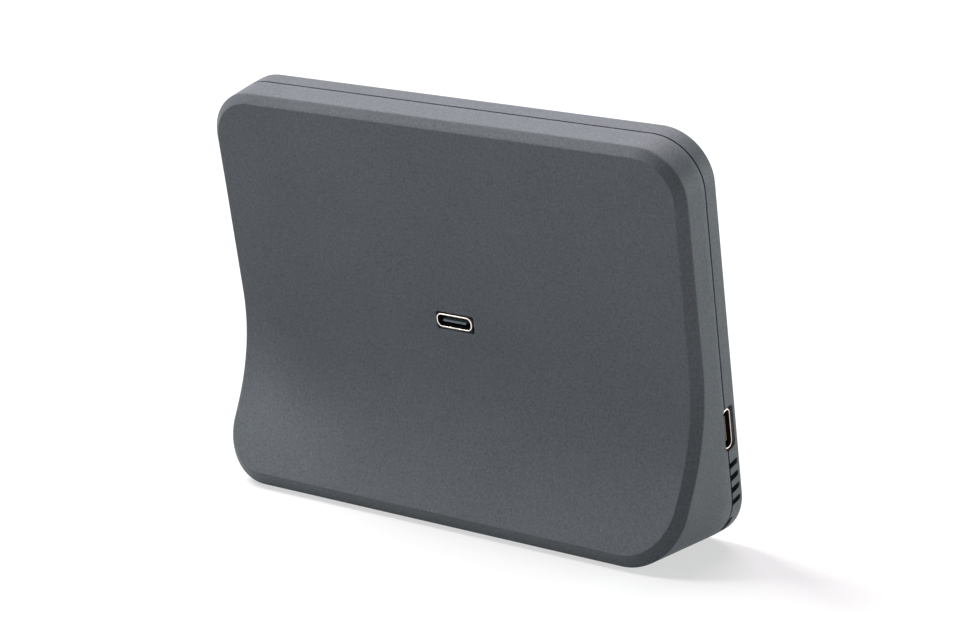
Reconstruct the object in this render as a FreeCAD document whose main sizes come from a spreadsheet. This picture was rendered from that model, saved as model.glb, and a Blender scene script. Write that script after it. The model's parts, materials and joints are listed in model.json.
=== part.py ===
import FreeCAD, Part
import math
import os
import Sketcher

# A desk-standing room heating controller: two moulded shells round a display, one board and two ports.
# The display leans back. Most pieces are drawn in the panel's own directions: X across,
# Y from the front face towards the back, Z up the panel, with zero at the front lower edge.

doc = FreeCAD.newDocument("desk_controller")
sheet = doc.addObject("Spreadsheet::Sheet", "Sizes")

SIZES = {
    # Outer form of the housing
    "width": 117.6,
    "height": 94.0,
    "lean": 15.0,
    "front_depth": 4.4,
    "top_depth": 13.2,
    "front_draft": 2.7,
    "rear_draft": 1.5,
    "back_taper": 0.5,
    "scoop_start": 46.5,
    "scoop_radius": 40.5,
    "flare_angle": 38.0,
    "top_corner": 11.0,
    "bottom_corner": 12.0,
    "front_edge": 0.3,
    "parting_gap": 0.35,
    "parting_depth": 0.5,
    # Bevel all round the back face
    "bevel_depth": 2.4,
    "bevel_inset": 1.8,
    "bevel_rise": 3.0,
    "rim_taper": -0.2,
    "rim_flare_angle": 35.6,
    # Walls of the two shells and the lip that joins them
    "wall": 2.0,
    "back_wall": 2.4,
    "floor_wall": 2.2,
    "seat_wall": 1.2,
    "lip_thick": 0.9,
    "lip_height": 1.0,
    "lip_gap": 0.1,
    # Cover glass and display
    "glass_thick": 1.1,
    "glass_border": 3.0,
    "glass_corner": 8.0,
    "glass_gap": 0.15,
    "glass_edge": 0.3,
    "tape_thick": 0.2,
    "tape_width": 3.0,
    "display_side": 9.05,
    "display_low": 17.0,
    "display_drop": 15.0,
    "display_gap": 0.3,
    "cell_thick": 1.2,
    "light_guide_thick": 1.0,
    "diffuser_thick": 0.3,
    "tray_wall": 0.3,
    # Board and its bosses
    "board_thick": 1.2,
    "board_gap": 1.3,
    "board_low": 24.0,
    "board_drop": 7.0,
    "board_corner": 6.0,
    "boss_radius": 2.4,
    "boss_inset": 5.6,
    "boss_low": 38.0,
    "boss_drop": 13.0,
    "pilot_gap": 0.05,
    "screw_gap": 0.1,
    "screw_radius": 1.0,
    "screw_length": 3.6,
    "screw_head_radius": 1.9,
    "screw_head_thick": 1.3,
    "screw_slot_length": 2.4,
    "screw_slot_width": 0.6,
    # Ports
    "port_width": 8.94,
    "port_thick": 3.26,
    "port_sheet": 0.31,
    "port_gap": 0.35,
    "rear_port_height": 48.4,
    "rear_port_sink": 0.05,
    "mouth_gap": 0.4,
    "mouth_corner": 0.6,
    "mouth_shift": 0.15,
    "side_port_height": 29.25,
    "side_port_depth": 3.75,
    "side_port_sink": 0.3,
    "side_port_length": 7.35,
    "side_mouth_front": 1.2,
    "side_mouth_rear": 5.6,
    "side_mouth_length": 9.75,
    "side_mouth_corner": 1.2,
    "tongue_width": 6.2,
    "tongue_thick": 0.6,
    "tongue_setback": 0.2,
    "port_block": 2.2,
    "pad_width": 0.25,
    "pad_pitch": 0.5,
    "pad_thick": 0.05,
    "pad_length": 2.4,
    "pad_setback": 0.3,
    "pad_count": 12,
    # Air slots in the side of the front shell, and the opening slot in the parting line
    "slot_count": 4,
    "slot_width": 1.35,
    "slot_pitch": 2.87,
    "slot_top": 20.76,
    "slot_reach": 3.4,
    "pry_length": 4.8,
    "pry_width": 1.2,
    "pry_depth": 0.8,
    "pry_angle": 33.5,
    # Rubber strips under the foot
    "strip_length": 88.0,
    "strip_width": 5.0,
    "strip_thick": 1.2,
    "strip_proud": 0.4,
    "strip_front": 8.5,
    "strip_rear": 24.0,
    # Parts on the board: distance of the centre in from the housing's side, its height or, as drop,
    # its distance below the housing's head, and then its size
    "processor_inset": 50.8,
    "processor_up": 66.0,
    "processor_side": 13.0,
    "processor_thick": 1.2,
    "memory_inset": 35.8,
    "memory_up": 66.0,
    "memory_wide": 11.0,
    "memory_tall": 8.0,
    "memory_thick": 1.0,
    "power_inset": 36.8,
    "power_up": 36.0,
    "power_side": 4.0,
    "power_thick": 0.9,
    "coil_inset": 28.8,
    "coil_up": 36.0,
    "coil_side": 6.0,
    "coil_thick": 2.8,
    "capacitor_inset": 20.8,
    "capacitor_up": 30.0,
    "capacitor_wide": 1.6,
    "capacitor_tall": 3.2,
    "capacitor_thick": 1.6,
    "capacitor_pitch": 5.0,
    "capacitor_count": 4,
    "chip_edge": 0.15,
    "radio_inset": 28.8,
    "radio_drop": 21.0,
    "radio_wide": 18.0,
    "radio_tall": 24.0,
    "radio_thick": 0.8,
    "shield_wide": 16.0,
    "shield_tall": 17.0,
    "shield_thick": 2.2,
    "shield_sheet": 0.2,
    "shield_margin": 0.8,
    "buzzer_inset": 22.8,
    "buzzer_up": 37.0,
    "buzzer_radius": 5.5,
    "buzzer_thick": 3.0,
    "buzzer_hole": 0.9,
    "cell_inset": 20.8,
    "cell_up": 57.0,
    "cell_radius": 6.2,
    "coin_thick": 2.0,
    "holder_side": 14.5,
    "holder_base": 0.7,
    "holder_rim": 2.4,
    # Flat cables and their sockets in front of the board
    "tail_wide": 22.0,
    "tail_thick": 0.2,
    "tail_start": 20.0,
    "tail_bend": 30.0,
    "socket_up": 36.0,
    "socket_tall": 4.0,
    "socket_thick": 1.1,
    "touch_across": 28.0,
    "touch_wide": 7.0,
    # Air sensor beside the slots: insets are from the housing's side
    "sensor_inset": 3.4,
    "sensor_wide": 9.9,
    "sensor_corner": 3.0,
    "sensor_low": 8.5,
    "sensor_high": 22.0,
    "inner_post_inset": 11.3,
    "inner_post_up": 11.0,
    "outer_post_inset": 5.3,
    "outer_post_up": 19.8,
    "sensor_post_radius": 1.6,
    "sensor_chip_inset": 5.8,
    "sensor_chip_up": 13.5,
    "sensor_chip_side": 2.5,
    "sensor_chip_thick": 0.9,
    "link_inset": 8.3,
    "link_wide": 4.0,
    "link_thick": 0.2,
    "link_low": 18.5,
    "link_high": 28.0,
    "rib_thick": 1.2,
    "rib_inset": 15.3,
    "rib_up": 23.0,
    "rib_gap": 0.8,
    "rib_root": 0.4,
    "collar_wall": 1.2,
    "collar_gap": 0.5,
}


def fill_sheet():
    """One row per size: its name, its number and the alias that the model reads."""
    for row, (name, number) in enumerate(SIZES.items(), start=1):
        sheet.set("A%d" % row, name)
        sheet.set("B%d" % row, str(number))
        sheet.setAlias("B%d" % row, name)
    doc.recompute()


fill_sheet()


def value(expression):
    """The number that an expression of sheet sizes stands for."""
    return float(sheet.evalExpression(expression))


def middle(edge):
    return edge.valueAt((edge.FirstParameter + edge.LastParameter) / 2)


def plane_of(body, role):
    return next(part for part in body.Origin.OriginFeatures if part.Role == role)


# Places that several pieces share
CENTRE_DEPTH = (
    "(Sizes.top_depth + (Sizes.height - Sizes.scoop_start) * tan(Sizes.back_taper)"
    " + Sizes.scoop_radius * cos(Sizes.back_taper))"
)
CENTRE_HEIGHT = "(Sizes.scoop_start + Sizes.scoop_radius * sin(Sizes.back_taper))"
REARMOST = "(Sizes.top_depth * cos(Sizes.lean) + (Sizes.height - Sizes.bevel_inset) * sin(Sizes.lean))"
FOREMOST = "(Sizes.front_edge * sin(Sizes.lean))"
STANCE = "-(%s + %s) / 2" % (REARMOST, FOREMOST)
LEANING = "placement(vector(0; %s; Sizes.strip_proud); rotation(vector(1; 0; 0); -Sizes.lean))" % STANCE
LEVEL = "placement(vector(0; %s; Sizes.strip_proud); rotation(vector(1; 0; 0); 0))" % STANCE


pieces = []


def new_body(name):
    return doc.addObject("PartDesign::Body", name)


def place(piece, placement=LEANING):
    """A finished piece takes its place in the whole and its name in the list of pieces."""
    piece.Label = piece.Name
    piece.setExpression("Placement", placement)
    doc.recompute()
    pieces.append(piece)
    return piece


def new_sketch(body, role, offset="0"):
    """An empty sketch on one of the body's own planes, moved along the plane's normal."""
    sketch = body.newObject("Sketcher::SketchObject", "%s_sketch%d" % (body.Name, len(body.Group)))
    sketch.AttachmentSupport = [(plane_of(body, role), "")]
    sketch.MapMode = "FlatFace"
    sketch.setExpression("AttachmentOffset.Base.z", offset)
    return sketch


def bind(sketch, bound):
    """Adds constraints and ties each to its expression."""
    for constraint, expression in bound:
        index = sketch.addConstraint(constraint)
        sketch.setExpression("Constraints[%d]" % index, expression)


def polygon(sketch, points):
    """A closed outline of straight lines whose corners are expressions."""
    corners = [FreeCAD.Vector(value(across), value(up), 0) for across, up in points]
    count = len(corners)
    lines = [
        sketch.addGeometry(Part.LineSegment(corners[i], corners[(i + 1) % count]), False)
        for i in range(count)
    ]
    for i in range(count):
        sketch.addConstraint(Sketcher.Constraint("Coincident", lines[i], 2, lines[(i + 1) % count], 1))
    for line, corner, (across, up) in zip(lines, corners, points):
        bind(sketch, (
            (Sketcher.Constraint("DistanceX", line, 1, corner.x), across),
            (Sketcher.Constraint("DistanceY", line, 1, corner.y), up),
        ))
    return lines


def rectangle(sketch, left, low, right, high):
    return polygon(sketch, ((left, low), (right, low), (right, high), (left, high)))


def circle(sketch, across, up, radius):
    centre = FreeCAD.Vector(value(across), value(up), 0)
    ring = sketch.addGeometry(Part.Circle(centre, FreeCAD.Vector(0, 0, 1), value(radius)), False)
    bind(sketch, (
        (Sketcher.Constraint("DistanceX", ring, 3, centre.x), across),
        (Sketcher.Constraint("DistanceY", ring, 3, centre.y), up),
        (Sketcher.Constraint("Radius", ring, value(radius)), radius),
    ))


def stadium(sketch, across, up, length, thick, upright=False):
    """A slot outline: two half circles joined by two lines, lying along the sketch or standing up."""
    x, y, reach, radius = value(across), value(up), value(length) / 2, value(thick) / 2
    turn = math.pi / 2 if upright else 0.0
    along = FreeCAD.Vector(math.cos(turn), math.sin(turn), 0) * (reach - radius)
    side = FreeCAD.Vector(-math.sin(turn), math.cos(turn), 0) * radius
    centre = FreeCAD.Vector(x, y, 0)
    axis = FreeCAD.Vector(0, 0, 1)
    ends = []
    for sign, start in ((1, -math.pi / 2), (-1, math.pi / 2)):
        disc = Part.Circle(centre + along * sign, axis, radius)
        ends.append(sketch.addGeometry(Part.ArcOfCircle(disc, start + turn, start + turn + math.pi), False))
    upper = sketch.addGeometry(Part.LineSegment(centre + along + side, centre - along + side), False)
    lower = sketch.addGeometry(Part.LineSegment(centre - along - side, centre + along - side), False)
    constraint = Sketcher.Constraint
    sketch.addConstraint([
        constraint("Tangent", ends[0], 2, upper, 1),
        constraint("Tangent", upper, 2, ends[1], 1),
        constraint("Tangent", ends[1], 2, lower, 1),
        constraint("Tangent", lower, 2, ends[0], 1),
        constraint("Vertical" if upright else "Horizontal", upper),
    ])
    half = "((%s) - (%s)) / 2" % (length, thick)
    shift_across = "0" if upright else half
    shift_up = half if upright else "0"
    first, second = centre + along, centre - along
    bind(sketch, (
        (constraint("DistanceX", ends[0], 3, first.x), "(%s) + %s" % (across, shift_across)),
        (constraint("DistanceY", ends[0], 3, first.y), "(%s) + %s" % (up, shift_up)),
        (constraint("DistanceY" if upright else "DistanceX", ends[1], 3, second.y if upright else second.x),
         "(%s) - %s" % (up if upright else across, half)),
        (constraint("Radius", ends[0], radius), "(%s) / 2" % thick),
    ))


def pad(body, sketch, length, reverse=False, symmetric=False):
    feature = body.newObject("PartDesign::Pad", "%s_pad%d" % (body.Name, len(body.Group)))
    feature.Profile = sketch
    feature.SideType = "Symmetric" if symmetric else "One side"
    feature.Reversed = reverse
    feature.setExpression("Length", length)
    doc.recompute()
    return feature


def pocket(body, sketch, length, reverse=False, symmetric=False):
    """Cuts a sketch out of the body, and stops if it removes nothing."""
    before = body.Tip.Shape.Volume
    feature = body.newObject("PartDesign::Pocket", "%s_pocket%d" % (body.Name, len(body.Group)))
    feature.Profile = sketch
    feature.SideType = "Symmetric" if symmetric else "One side"
    feature.Reversed = reverse
    feature.setExpression("Length", length)
    doc.recompute()
    if feature.Shape.Volume >= before:
        raise RuntimeError("%s cuts nothing" % feature.Name)
    return feature


def spread(body, feature, sketch, pitch, count, axis="H_Axis", backwards=False):
    """Repeats a feature in a straight row along one axis of a sketch."""
    row = body.newObject("PartDesign::LinearPattern", body.Name + "_row")
    row.Originals = [feature]
    row.Direction = (sketch, [axis])
    row.Reversed = backwards
    row.setExpression("Length", "%s * (%s - 1)" % (pitch, count))
    row.setExpression("Occurrences", count)
    body.Tip = row
    doc.recompute()


def dress(body, kind, size, test):
    """A Fillet or Chamfer on the edges of the body that pass the test."""
    base = body.Tip
    chosen = ["Edge%d" % (i + 1) for i, edge in enumerate(base.Shape.Edges) if test(edge)]
    feature = body.newObject("PartDesign::" + kind, "%s_%s%d" % (body.Name, kind.lower(), len(body.Group)))
    feature.Base = (base, chosen)
    feature.setExpression("Radius" if kind == "Fillet" else "Size", size)
    doc.recompute()
    return feature


def along_depth(edge):
    """Straight edges that run from front to back, across the plane of the panel."""
    ends = [vertex.Point for vertex in edge.Vertexes]
    return len(ends) == 2 and (ends[1] - ends[0]).normalize().isEqual(
        FreeCAD.Vector(0, math.copysign(1, ends[1].y - ends[0].y), 0), 1e-6)


def side_profile(body, front, top, radius, taper, flare, rise):
    """Side view of a housing block: straight front, top and upper back, scooped and flared lower back,
    and a foot that is level when the panel leans."""
    sketch = new_sketch(body, "YZ_Plane")
    lean = math.radians(value("Sizes.lean"))
    depth, head, arc_radius = value(front), value(top), value(radius)
    first, last = math.radians(value(taper)), math.radians(value(flare))
    lift = value(rise) / math.cos(lean)
    centre = FreeCAD.Vector(value(CENTRE_DEPTH), value(CENTRE_HEIGHT), 0)
    start = centre - FreeCAD.Vector(math.cos(first), math.sin(first), 0) * arc_radius
    end = centre - FreeCAD.Vector(math.cos(last), math.sin(last), 0) * arc_radius
    top_back = FreeCAD.Vector(start.x - (head - start.y) * math.tan(first), head, 0)
    heel_depth = (end.x + (end.y - lift) * math.tan(last)) / (1 + math.tan(lean) * math.tan(last))
    heel = FreeCAD.Vector(heel_depth, heel_depth * math.tan(lean) + lift, 0)
    toe = FreeCAD.Vector(depth, depth * math.tan(lean) + lift, 0)
    brow = FreeCAD.Vector(depth, head, 0)

    def line(tail, tip):
        return sketch.addGeometry(Part.LineSegment(tail, tip), False)

    front_line, top_line, back_line = line(toe, brow), line(brow, top_back), line(top_back, start)
    scoop = Part.Circle(centre, FreeCAD.Vector(0, 0, 1), arc_radius)
    arc = sketch.addGeometry(Part.ArcOfCircle(scoop, math.pi + first, math.pi + last), False)
    flare_line, foot_line = line(end, heel), line(heel, toe)
    constraint = Sketcher.Constraint
    sketch.addConstraint([
        constraint("Coincident", front_line, 2, top_line, 1),
        constraint("Coincident", top_line, 2, back_line, 1),
        constraint("Tangent", back_line, 2, arc, 1),
        constraint("Tangent", arc, 2, flare_line, 1),
        constraint("Coincident", flare_line, 2, foot_line, 1),
        constraint("Coincident", foot_line, 2, front_line, 1),
        constraint("Vertical", front_line),
        constraint("Horizontal", top_line),
    ])
    toe_height = "(%s) * tan(Sizes.lean) + (%s) / cos(Sizes.lean)" % (front, rise)
    bind(sketch, (
        (constraint("DistanceX", front_line, 1, toe.x), front),
        (constraint("DistanceY", front_line, 1, toe.y), toe_height),
        (constraint("DistanceY", front_line, 2, head), top),
        (constraint("DistanceX", arc, 3, centre.x), CENTRE_DEPTH),
        (constraint("DistanceY", arc, 3, centre.y), CENTRE_HEIGHT),
        (constraint("Radius", arc, arc_radius), radius),
        (constraint("Angle", back_line, first - math.pi / 2), "(%s) - 90" % taper),
        (constraint("Angle", flare_line, last - math.pi / 2), "(%s) - 90" % flare),
        (constraint("Angle", foot_line, lean - math.pi), "Sizes.lean - 180"),
    ))
    return sketch


def draft_sides(body, half, near, far, angle):
    """Takes a thin wedge off each side, so that the walls close in from one depth to another."""
    shrink = "abs((%s) - (%s)) * tan(%s)" % (far, near, angle)
    for sign in ("", "-"):
        sketch = new_sketch(body, "XY_Plane")
        polygon(sketch, (
            ("%s(%s)" % (sign, half), near),
            ("%s(%s)" % (sign, half), far),
            ("%s((%s) - %s)" % (sign, half, shrink), far),
        ))
        pocket(body, sketch, "3 * Sizes.height", symmetric=True)


def round_corners(body, head, rise, top_radius, foot_radius):
    """Rounds the four edges that run from front to back: two at the head and two at the foot."""
    lean = math.radians(value("Sizes.lean"))
    top, lift = value(head), value(rise)

    def at_head(edge):
        point = middle(edge)
        return abs(point.z - top) < 0.01 and abs(point.x) > value("Sizes.width") / 4

    def at_foot(edge):
        point = middle(edge)
        height = point.z * math.cos(lean) - point.y * math.sin(lean)
        return abs(height - lift) < 0.01 and abs(point.x) > value("Sizes.width") / 4

    dress(body, "Fillet", top_radius, at_head)
    dress(body, "Fillet", foot_radius, at_foot)


def brow_block(name, front, back, inset, rise, angle="0"):
    """A flat block in the outline of the parting line, set in from it, between two depths."""
    body = new_body(name)
    half = "(Sizes.width / 2 - (%s))" % inset
    head = "(Sizes.height - (%s))" % inset
    sketch = new_sketch(body, "YZ_Plane")
    foot = "(%s) * tan(Sizes.lean) + (%s) / cos(Sizes.lean)"
    polygon(sketch, ((front, foot % (front, rise)), (back, foot % (back, rise)), (back, head),
                     (front, head)))
    pad(body, sketch, "2 * %s" % half, symmetric=True)
    if value(angle) > 0:
        draft_sides(body, half, back, front, angle)
    round_corners(body, head, rise, "Sizes.top_corner - (%s)" % inset, "Sizes.bottom_corner - (%s)" % inset)
    return body


def thin_block(name, front, back, inset, rise):
    """The same outline between two close depths: a deeper block, rounded and then trimmed."""
    deep = brow_block(name + "_deep", "%s - Sizes.bottom_corner / 2" % front,
                      "%s + Sizes.bottom_corner / 2" % back, inset, rise)
    slab = doc.addObject("Part::Box", name + "_slab")
    slab.setExpression("Length", "2 * Sizes.width")
    slab.setExpression("Width", "(%s) - (%s)" % (back, front))
    slab.setExpression("Height", "3 * Sizes.height")
    corner = "vector(-Sizes.width; %s; -Sizes.height)" % front
    slab.setExpression("Placement", "placement(%s; rotation(vector(1; 0; 0); 0))" % corner)
    return combine("Part::MultiCommon", name, [deep, slab])


def housing_block(name, front, inset, head, rise, radius, taper, flare):
    """A solid block in the outline of the rear shell, set in from it on every side."""
    body = new_body(name)
    half = "(Sizes.width / 2 - (%s))" % inset
    profile = side_profile(body, front, head, radius, taper, flare, rise)
    pad(body, profile, "2 * %s" % half, symmetric=True)
    draft_sides(body, half, front, "2 * Sizes.top_depth + Sizes.scoop_radius", "Sizes.rear_draft")
    round_corners(body, head, rise, "Sizes.top_corner - (%s)" % inset, "Sizes.bottom_corner - (%s)" % inset)
    return body


def back_faces(shape):
    """The straight, scooped and flared faces of a block's back."""
    chosen = []
    for face in shape.Faces:
        across, up = face.ParameterRange[:2], face.ParameterRange[2:]
        if face.normalAt(sum(across) / 2, sum(up) / 2).y > 0.6:
            chosen.append(face)
    return chosen


def back_loop(faces):
    """The closed loop round those faces, edge by edge in order round the middle of the back."""
    shared = [edge for face in faces for edge in face.Edges]
    loop = [edge for edge in shared if sum(edge.isSame(other) for other in shared) == 1]
    centre = FreeCAD.Vector(0, 0, value("Sizes.height / 2"))
    return sorted(loop, key=lambda edge: math.atan2(middle(edge).z - centre.z, middle(edge).x))


def bevelled_blank(name, core, face):
    """The rear shell's outer form. The core's walls end at a rim, the smaller face block gives the
    back, and ruled strips between the two loops make a bevel that widens towards the foot."""
    core_backs, backs = back_faces(core.Shape), back_faces(face.Shape)
    walls = [wall for wall in core.Shape.Faces if not any(wall.isSame(back) for back in core_backs)]
    rim, inner = back_loop(core_backs), back_loop(backs)
    strips = [Part.makeRuledSurface(outer, small).Faces[0] for outer, small in zip(rim, inner)]
    shell = Part.Shell(walls + strips + backs)
    shell.sewShape()
    solid = Part.Solid(shell)
    if solid.Volume < 0:
        solid.reverse()
    blank = doc.addObject("Part::Feature", name)
    blank.Shape = solid
    return blank


def combine(kind, name, shapes):
    """A boolean of several objects: Part::MultiFuse joins them, Part::MultiCommon keeps what they share."""
    feature = doc.addObject(kind, name)
    feature.Shapes = shapes
    feature.Refine = True
    doc.recompute()
    return feature


def cut(name, base, tool):
    feature = doc.addObject("Part::Cut", name)
    feature.Base = base
    feature.Tool = tool
    feature.Refine = True
    doc.recompute()
    return feature


def brick(name, across, front, up, wide, deep, tall):
    """A plain block by its middle across and up, and its front face."""
    body = new_body(name)
    box = body.newObject("PartDesign::AdditiveBox", name + "_block")
    box.setExpression("Length", wide)
    box.setExpression("Width", deep)
    box.setExpression("Height", tall)
    box.setExpression("Placement.Base.x", "(%s) - (%s) / 2" % (across, wide))
    box.setExpression("Placement.Base.y", front)
    box.setExpression("Placement.Base.z", "(%s) - (%s) / 2" % (up, tall))
    doc.recompute()
    return body


def drum(name, across, front, up, radius, deep):
    """A round block whose axis runs from front to back."""
    body = new_body(name)
    disc = new_sketch(body, "XZ_Plane", "-(%s)" % front)
    circle(disc, across, up, radius)
    pad(body, disc, deep, reverse=True)
    return body


# Depths of the stack from the glass to the board
SEAT_FRONT = "(Sizes.glass_thick + Sizes.tape_thick)"
SEAT_BACK = "(%s + Sizes.seat_wall)" % SEAT_FRONT
BOARD_FRONT = "(Sizes.side_port_depth + Sizes.port_thick / 2)"
BOARD_BACK = "(%s + Sizes.board_thick)" % BOARD_FRONT
TRAY_DEPTH = "(Sizes.cell_thick + Sizes.diffuser_thick + Sizes.light_guide_thick + Sizes.tray_wall)"
TRAY_BACK = "(%s + %s)" % (SEAT_FRONT, TRAY_DEPTH)
BACK_AT_PORT = "(Sizes.top_depth + (Sizes.height - Sizes.rear_port_height) * tan(Sizes.back_taper))"
GLASS_HALF = "(Sizes.width / 2 - Sizes.front_depth * tan(Sizes.front_draft) - Sizes.glass_border)"
GLASS_LOW = "Sizes.glass_border"
GLASS_HIGH = "(Sizes.height - Sizes.glass_border)"

# The display and the board keep their distance from the housing's sides and head
DISPLAY_HALF = "(Sizes.width / 2 - Sizes.display_side)"
DISPLAY_HIGH = "(Sizes.height - Sizes.display_drop)"
DISPLAY_WIDTH = "(Sizes.width - 2 * Sizes.display_side)"
DISPLAY_HEIGHT = "(%s - Sizes.display_low)" % DISPLAY_HIGH
DISPLAY_CENTRE = "((%s + Sizes.display_low) / 2)" % DISPLAY_HIGH
BOARD_HALF = "(Sizes.width / 2 - Sizes.wall - Sizes.board_gap)"
BOARD_HIGH = "(Sizes.height - Sizes.board_drop)"


def from_side(inset, sign="-"):
    """A place across the panel, measured in from the housing's side: minus is the side with the slots."""
    return "%s(Sizes.width / 2 - Sizes.%s)" % (sign, inset)


def glass_outline(name, front, deep, grow):
    """A sheet in the outline of the cover glass, grown or shrunk, with its round corners."""
    body = new_body(name)
    sketch = new_sketch(body, "XZ_Plane", "-(%s)" % front)
    rectangle(sketch, "-(%s + %s)" % (GLASS_HALF, grow), "%s - (%s)" % (GLASS_LOW, grow),
              "%s + %s" % (GLASS_HALF, grow), "%s + %s" % (GLASS_HIGH, grow))
    pad(body, sketch, deep, reverse=True)
    dress(body, "Fillet", "Sizes.glass_corner + (%s)" % grow, along_depth)
    return body


def build_rear_shell():
    """Moulded back: bevelled outside, hollow inside, with the port collar, sensor ribs and strip grooves."""
    core = housing_block("rear_core", "Sizes.front_depth", "0", "Sizes.height", "0",
                         "Sizes.scoop_radius + Sizes.bevel_depth", "Sizes.rim_taper",
                         "Sizes.rim_flare_angle")
    face = housing_block("rear_face", "Sizes.front_depth", "Sizes.bevel_inset",
                         "Sizes.height - Sizes.bevel_inset", "Sizes.bevel_rise", "Sizes.scoop_radius",
                         "Sizes.back_taper", "Sizes.flare_angle")
    blank = bevelled_blank("rear_blank", core, face)
    cavity = housing_block("rear_cavity", "Sizes.front_depth - Sizes.lip_height", "Sizes.wall",
                           "Sizes.height - Sizes.wall", "Sizes.floor_wall",
                           "Sizes.scoop_radius + Sizes.back_wall", "Sizes.back_taper", "Sizes.flare_angle")
    rebate = thin_block("rear_rebate", "Sizes.front_depth - Sizes.lip_height",
                        "Sizes.front_depth + Sizes.lip_height + Sizes.lip_gap",
                        "Sizes.wall - Sizes.lip_thick - Sizes.lip_gap",
                        "Sizes.floor_wall - Sizes.lip_thick - Sizes.lip_gap")
    hollow = cut("rear_hollow", blank, combine("Part::MultiFuse", "rear_space", [cavity, rebate]))

    # Collar that leads a plug to the rear port, and ribs that wall off the air sensor
    collar = new_body("rear_collar")
    ring = new_sketch(collar, "XZ_Plane", "-(%s + Sizes.collar_gap)" % BOARD_BACK)
    margin = "2 * (Sizes.port_gap + Sizes.collar_wall)"
    stadium(ring, "0", "Sizes.rear_port_height", "Sizes.port_width + " + margin,
            "Sizes.port_thick + " + margin)
    collar_depth = "%s - %s - Sizes.collar_gap - Sizes.back_wall / 2" % (BACK_AT_PORT, BOARD_BACK)
    pad(collar, ring, collar_depth, reverse=True)
    rib_front = "(%s + Sizes.rib_gap)" % BOARD_BACK
    side = new_body("rear_rib_side")
    outline = new_sketch(side, "XZ_Plane", "-(%s)" % rib_front)
    rib_across = from_side("rib_inset")
    rectangle(outline, rib_across, "Sizes.wall / 2", rib_across + " + Sizes.rib_thick",
              "Sizes.rib_up + Sizes.rib_thick")
    pad(side, outline, "Sizes.top_depth + Sizes.scoop_radius", reverse=True)
    level = new_body("rear_rib_level")
    outline = new_sketch(level, "XZ_Plane", "-(%s)" % rib_front)
    rectangle(outline, "-Sizes.width / 2", "Sizes.rib_up", rib_across + " + Sizes.rib_thick",
              "Sizes.rib_up + Sizes.rib_thick")
    pad(level, outline, "Sizes.top_depth + Sizes.scoop_radius", reverse=True)
    ribs = combine("Part::MultiFuse", "rear_ribs", [side, level])
    inside = housing_block("rear_inside", "Sizes.front_depth", "Sizes.wall - Sizes.rib_root",
                           "Sizes.height - Sizes.wall + Sizes.rib_root", "Sizes.floor_wall - Sizes.rib_root",
                           "Sizes.scoop_radius + Sizes.back_wall - Sizes.rib_root",
                           "Sizes.back_taper", "Sizes.flare_angle")
    ribs = combine("Part::MultiCommon", "rear_ribs_trimmed", [ribs, inside])
    walls = combine("Part::MultiFuse", "rear_walls", [hollow, collar, ribs])

    # Openings: rear port, side port, the shadow line at the parting and the grooves of the rubber strips
    half_long = "(Sizes.port_width / 2 + Sizes.mouth_gap)"
    half_thick = "(Sizes.port_thick / 2 + Sizes.mouth_gap)"
    mouth = new_body("rear_mouth")
    outline = new_sketch(mouth, "XZ_Plane", "-(%s)" % BOARD_BACK)
    rectangle(outline, "-Sizes.mouth_shift - " + half_long, "Sizes.rear_port_height - " + half_thick,
              "-Sizes.mouth_shift + " + half_long, "Sizes.rear_port_height + " + half_thick)
    pad(mouth, outline, "2 * Sizes.top_depth", reverse=True)
    dress(mouth, "Fillet", "Sizes.mouth_corner", along_depth)
    line_outside = thin_block("line_outside", "Sizes.front_depth - Sizes.parting_gap",
                              "Sizes.front_depth + Sizes.parting_gap", "-Sizes.wall", "-Sizes.wall")
    line_inside = thin_block("line_inside", "Sizes.front_depth - Sizes.wall",
                             "Sizes.front_depth + Sizes.wall", "Sizes.parting_depth", "Sizes.parting_depth")
    openings = [mouth, cut("parting_line", line_outside, line_inside)] + side_openings("rear")
    for name, middle_line in (("front", "Sizes.strip_front"), ("rear", "Sizes.strip_rear")):
        groove = new_body("groove_" + name)
        groove.setExpression("Placement", "placement(vector(0; 0; 0); rotation(vector(1; 0; 0); Sizes.lean))")
        outline = new_sketch(groove, "XY_Plane", "-Sizes.wall")
        stadium(outline, "0", middle_line, "Sizes.strip_length", "Sizes.strip_width")
        pad(groove, outline, "Sizes.wall + Sizes.strip_thick - Sizes.strip_proud")
        openings.append(groove)
    cutters = combine("Part::MultiFuse", "rear_cutters", openings)
    place(cut("rear_shell", walls, cutters))


def side_openings(which):
    """Cutters for the side port: a close bed for its shell and a wider mouth through the wall."""
    bed = new_body(which + "_side_bed")
    outline = new_sketch(bed, "YZ_Plane", "-(Sizes.width / 2 + Sizes.wall)")
    stadium(outline, "Sizes.side_port_depth", "Sizes.side_port_height",
            "Sizes.port_width + 2 * Sizes.port_gap", "Sizes.port_thick + 2 * Sizes.port_gap", upright=True)
    pad(bed, outline, "Sizes.wall + Sizes.side_port_sink + Sizes.side_port_length + Sizes.port_gap")
    mouth = new_body(which + "_side_mouth")
    outline = new_sketch(mouth, "YZ_Plane", "-(Sizes.width / 2 + Sizes.wall)")
    rectangle(outline, "Sizes.side_mouth_front", "Sizes.side_port_height - Sizes.side_mouth_length / 2",
              "Sizes.side_mouth_rear", "Sizes.side_port_height + Sizes.side_mouth_length / 2")
    pad(mouth, outline, "2 * Sizes.wall + Sizes.lip_gap")
    dress(mouth, "Fillet", "Sizes.side_mouth_corner",
          lambda edge: abs(edge.tangentAt(edge.FirstParameter).x) > 0.99)
    return [bed, mouth]


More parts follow.
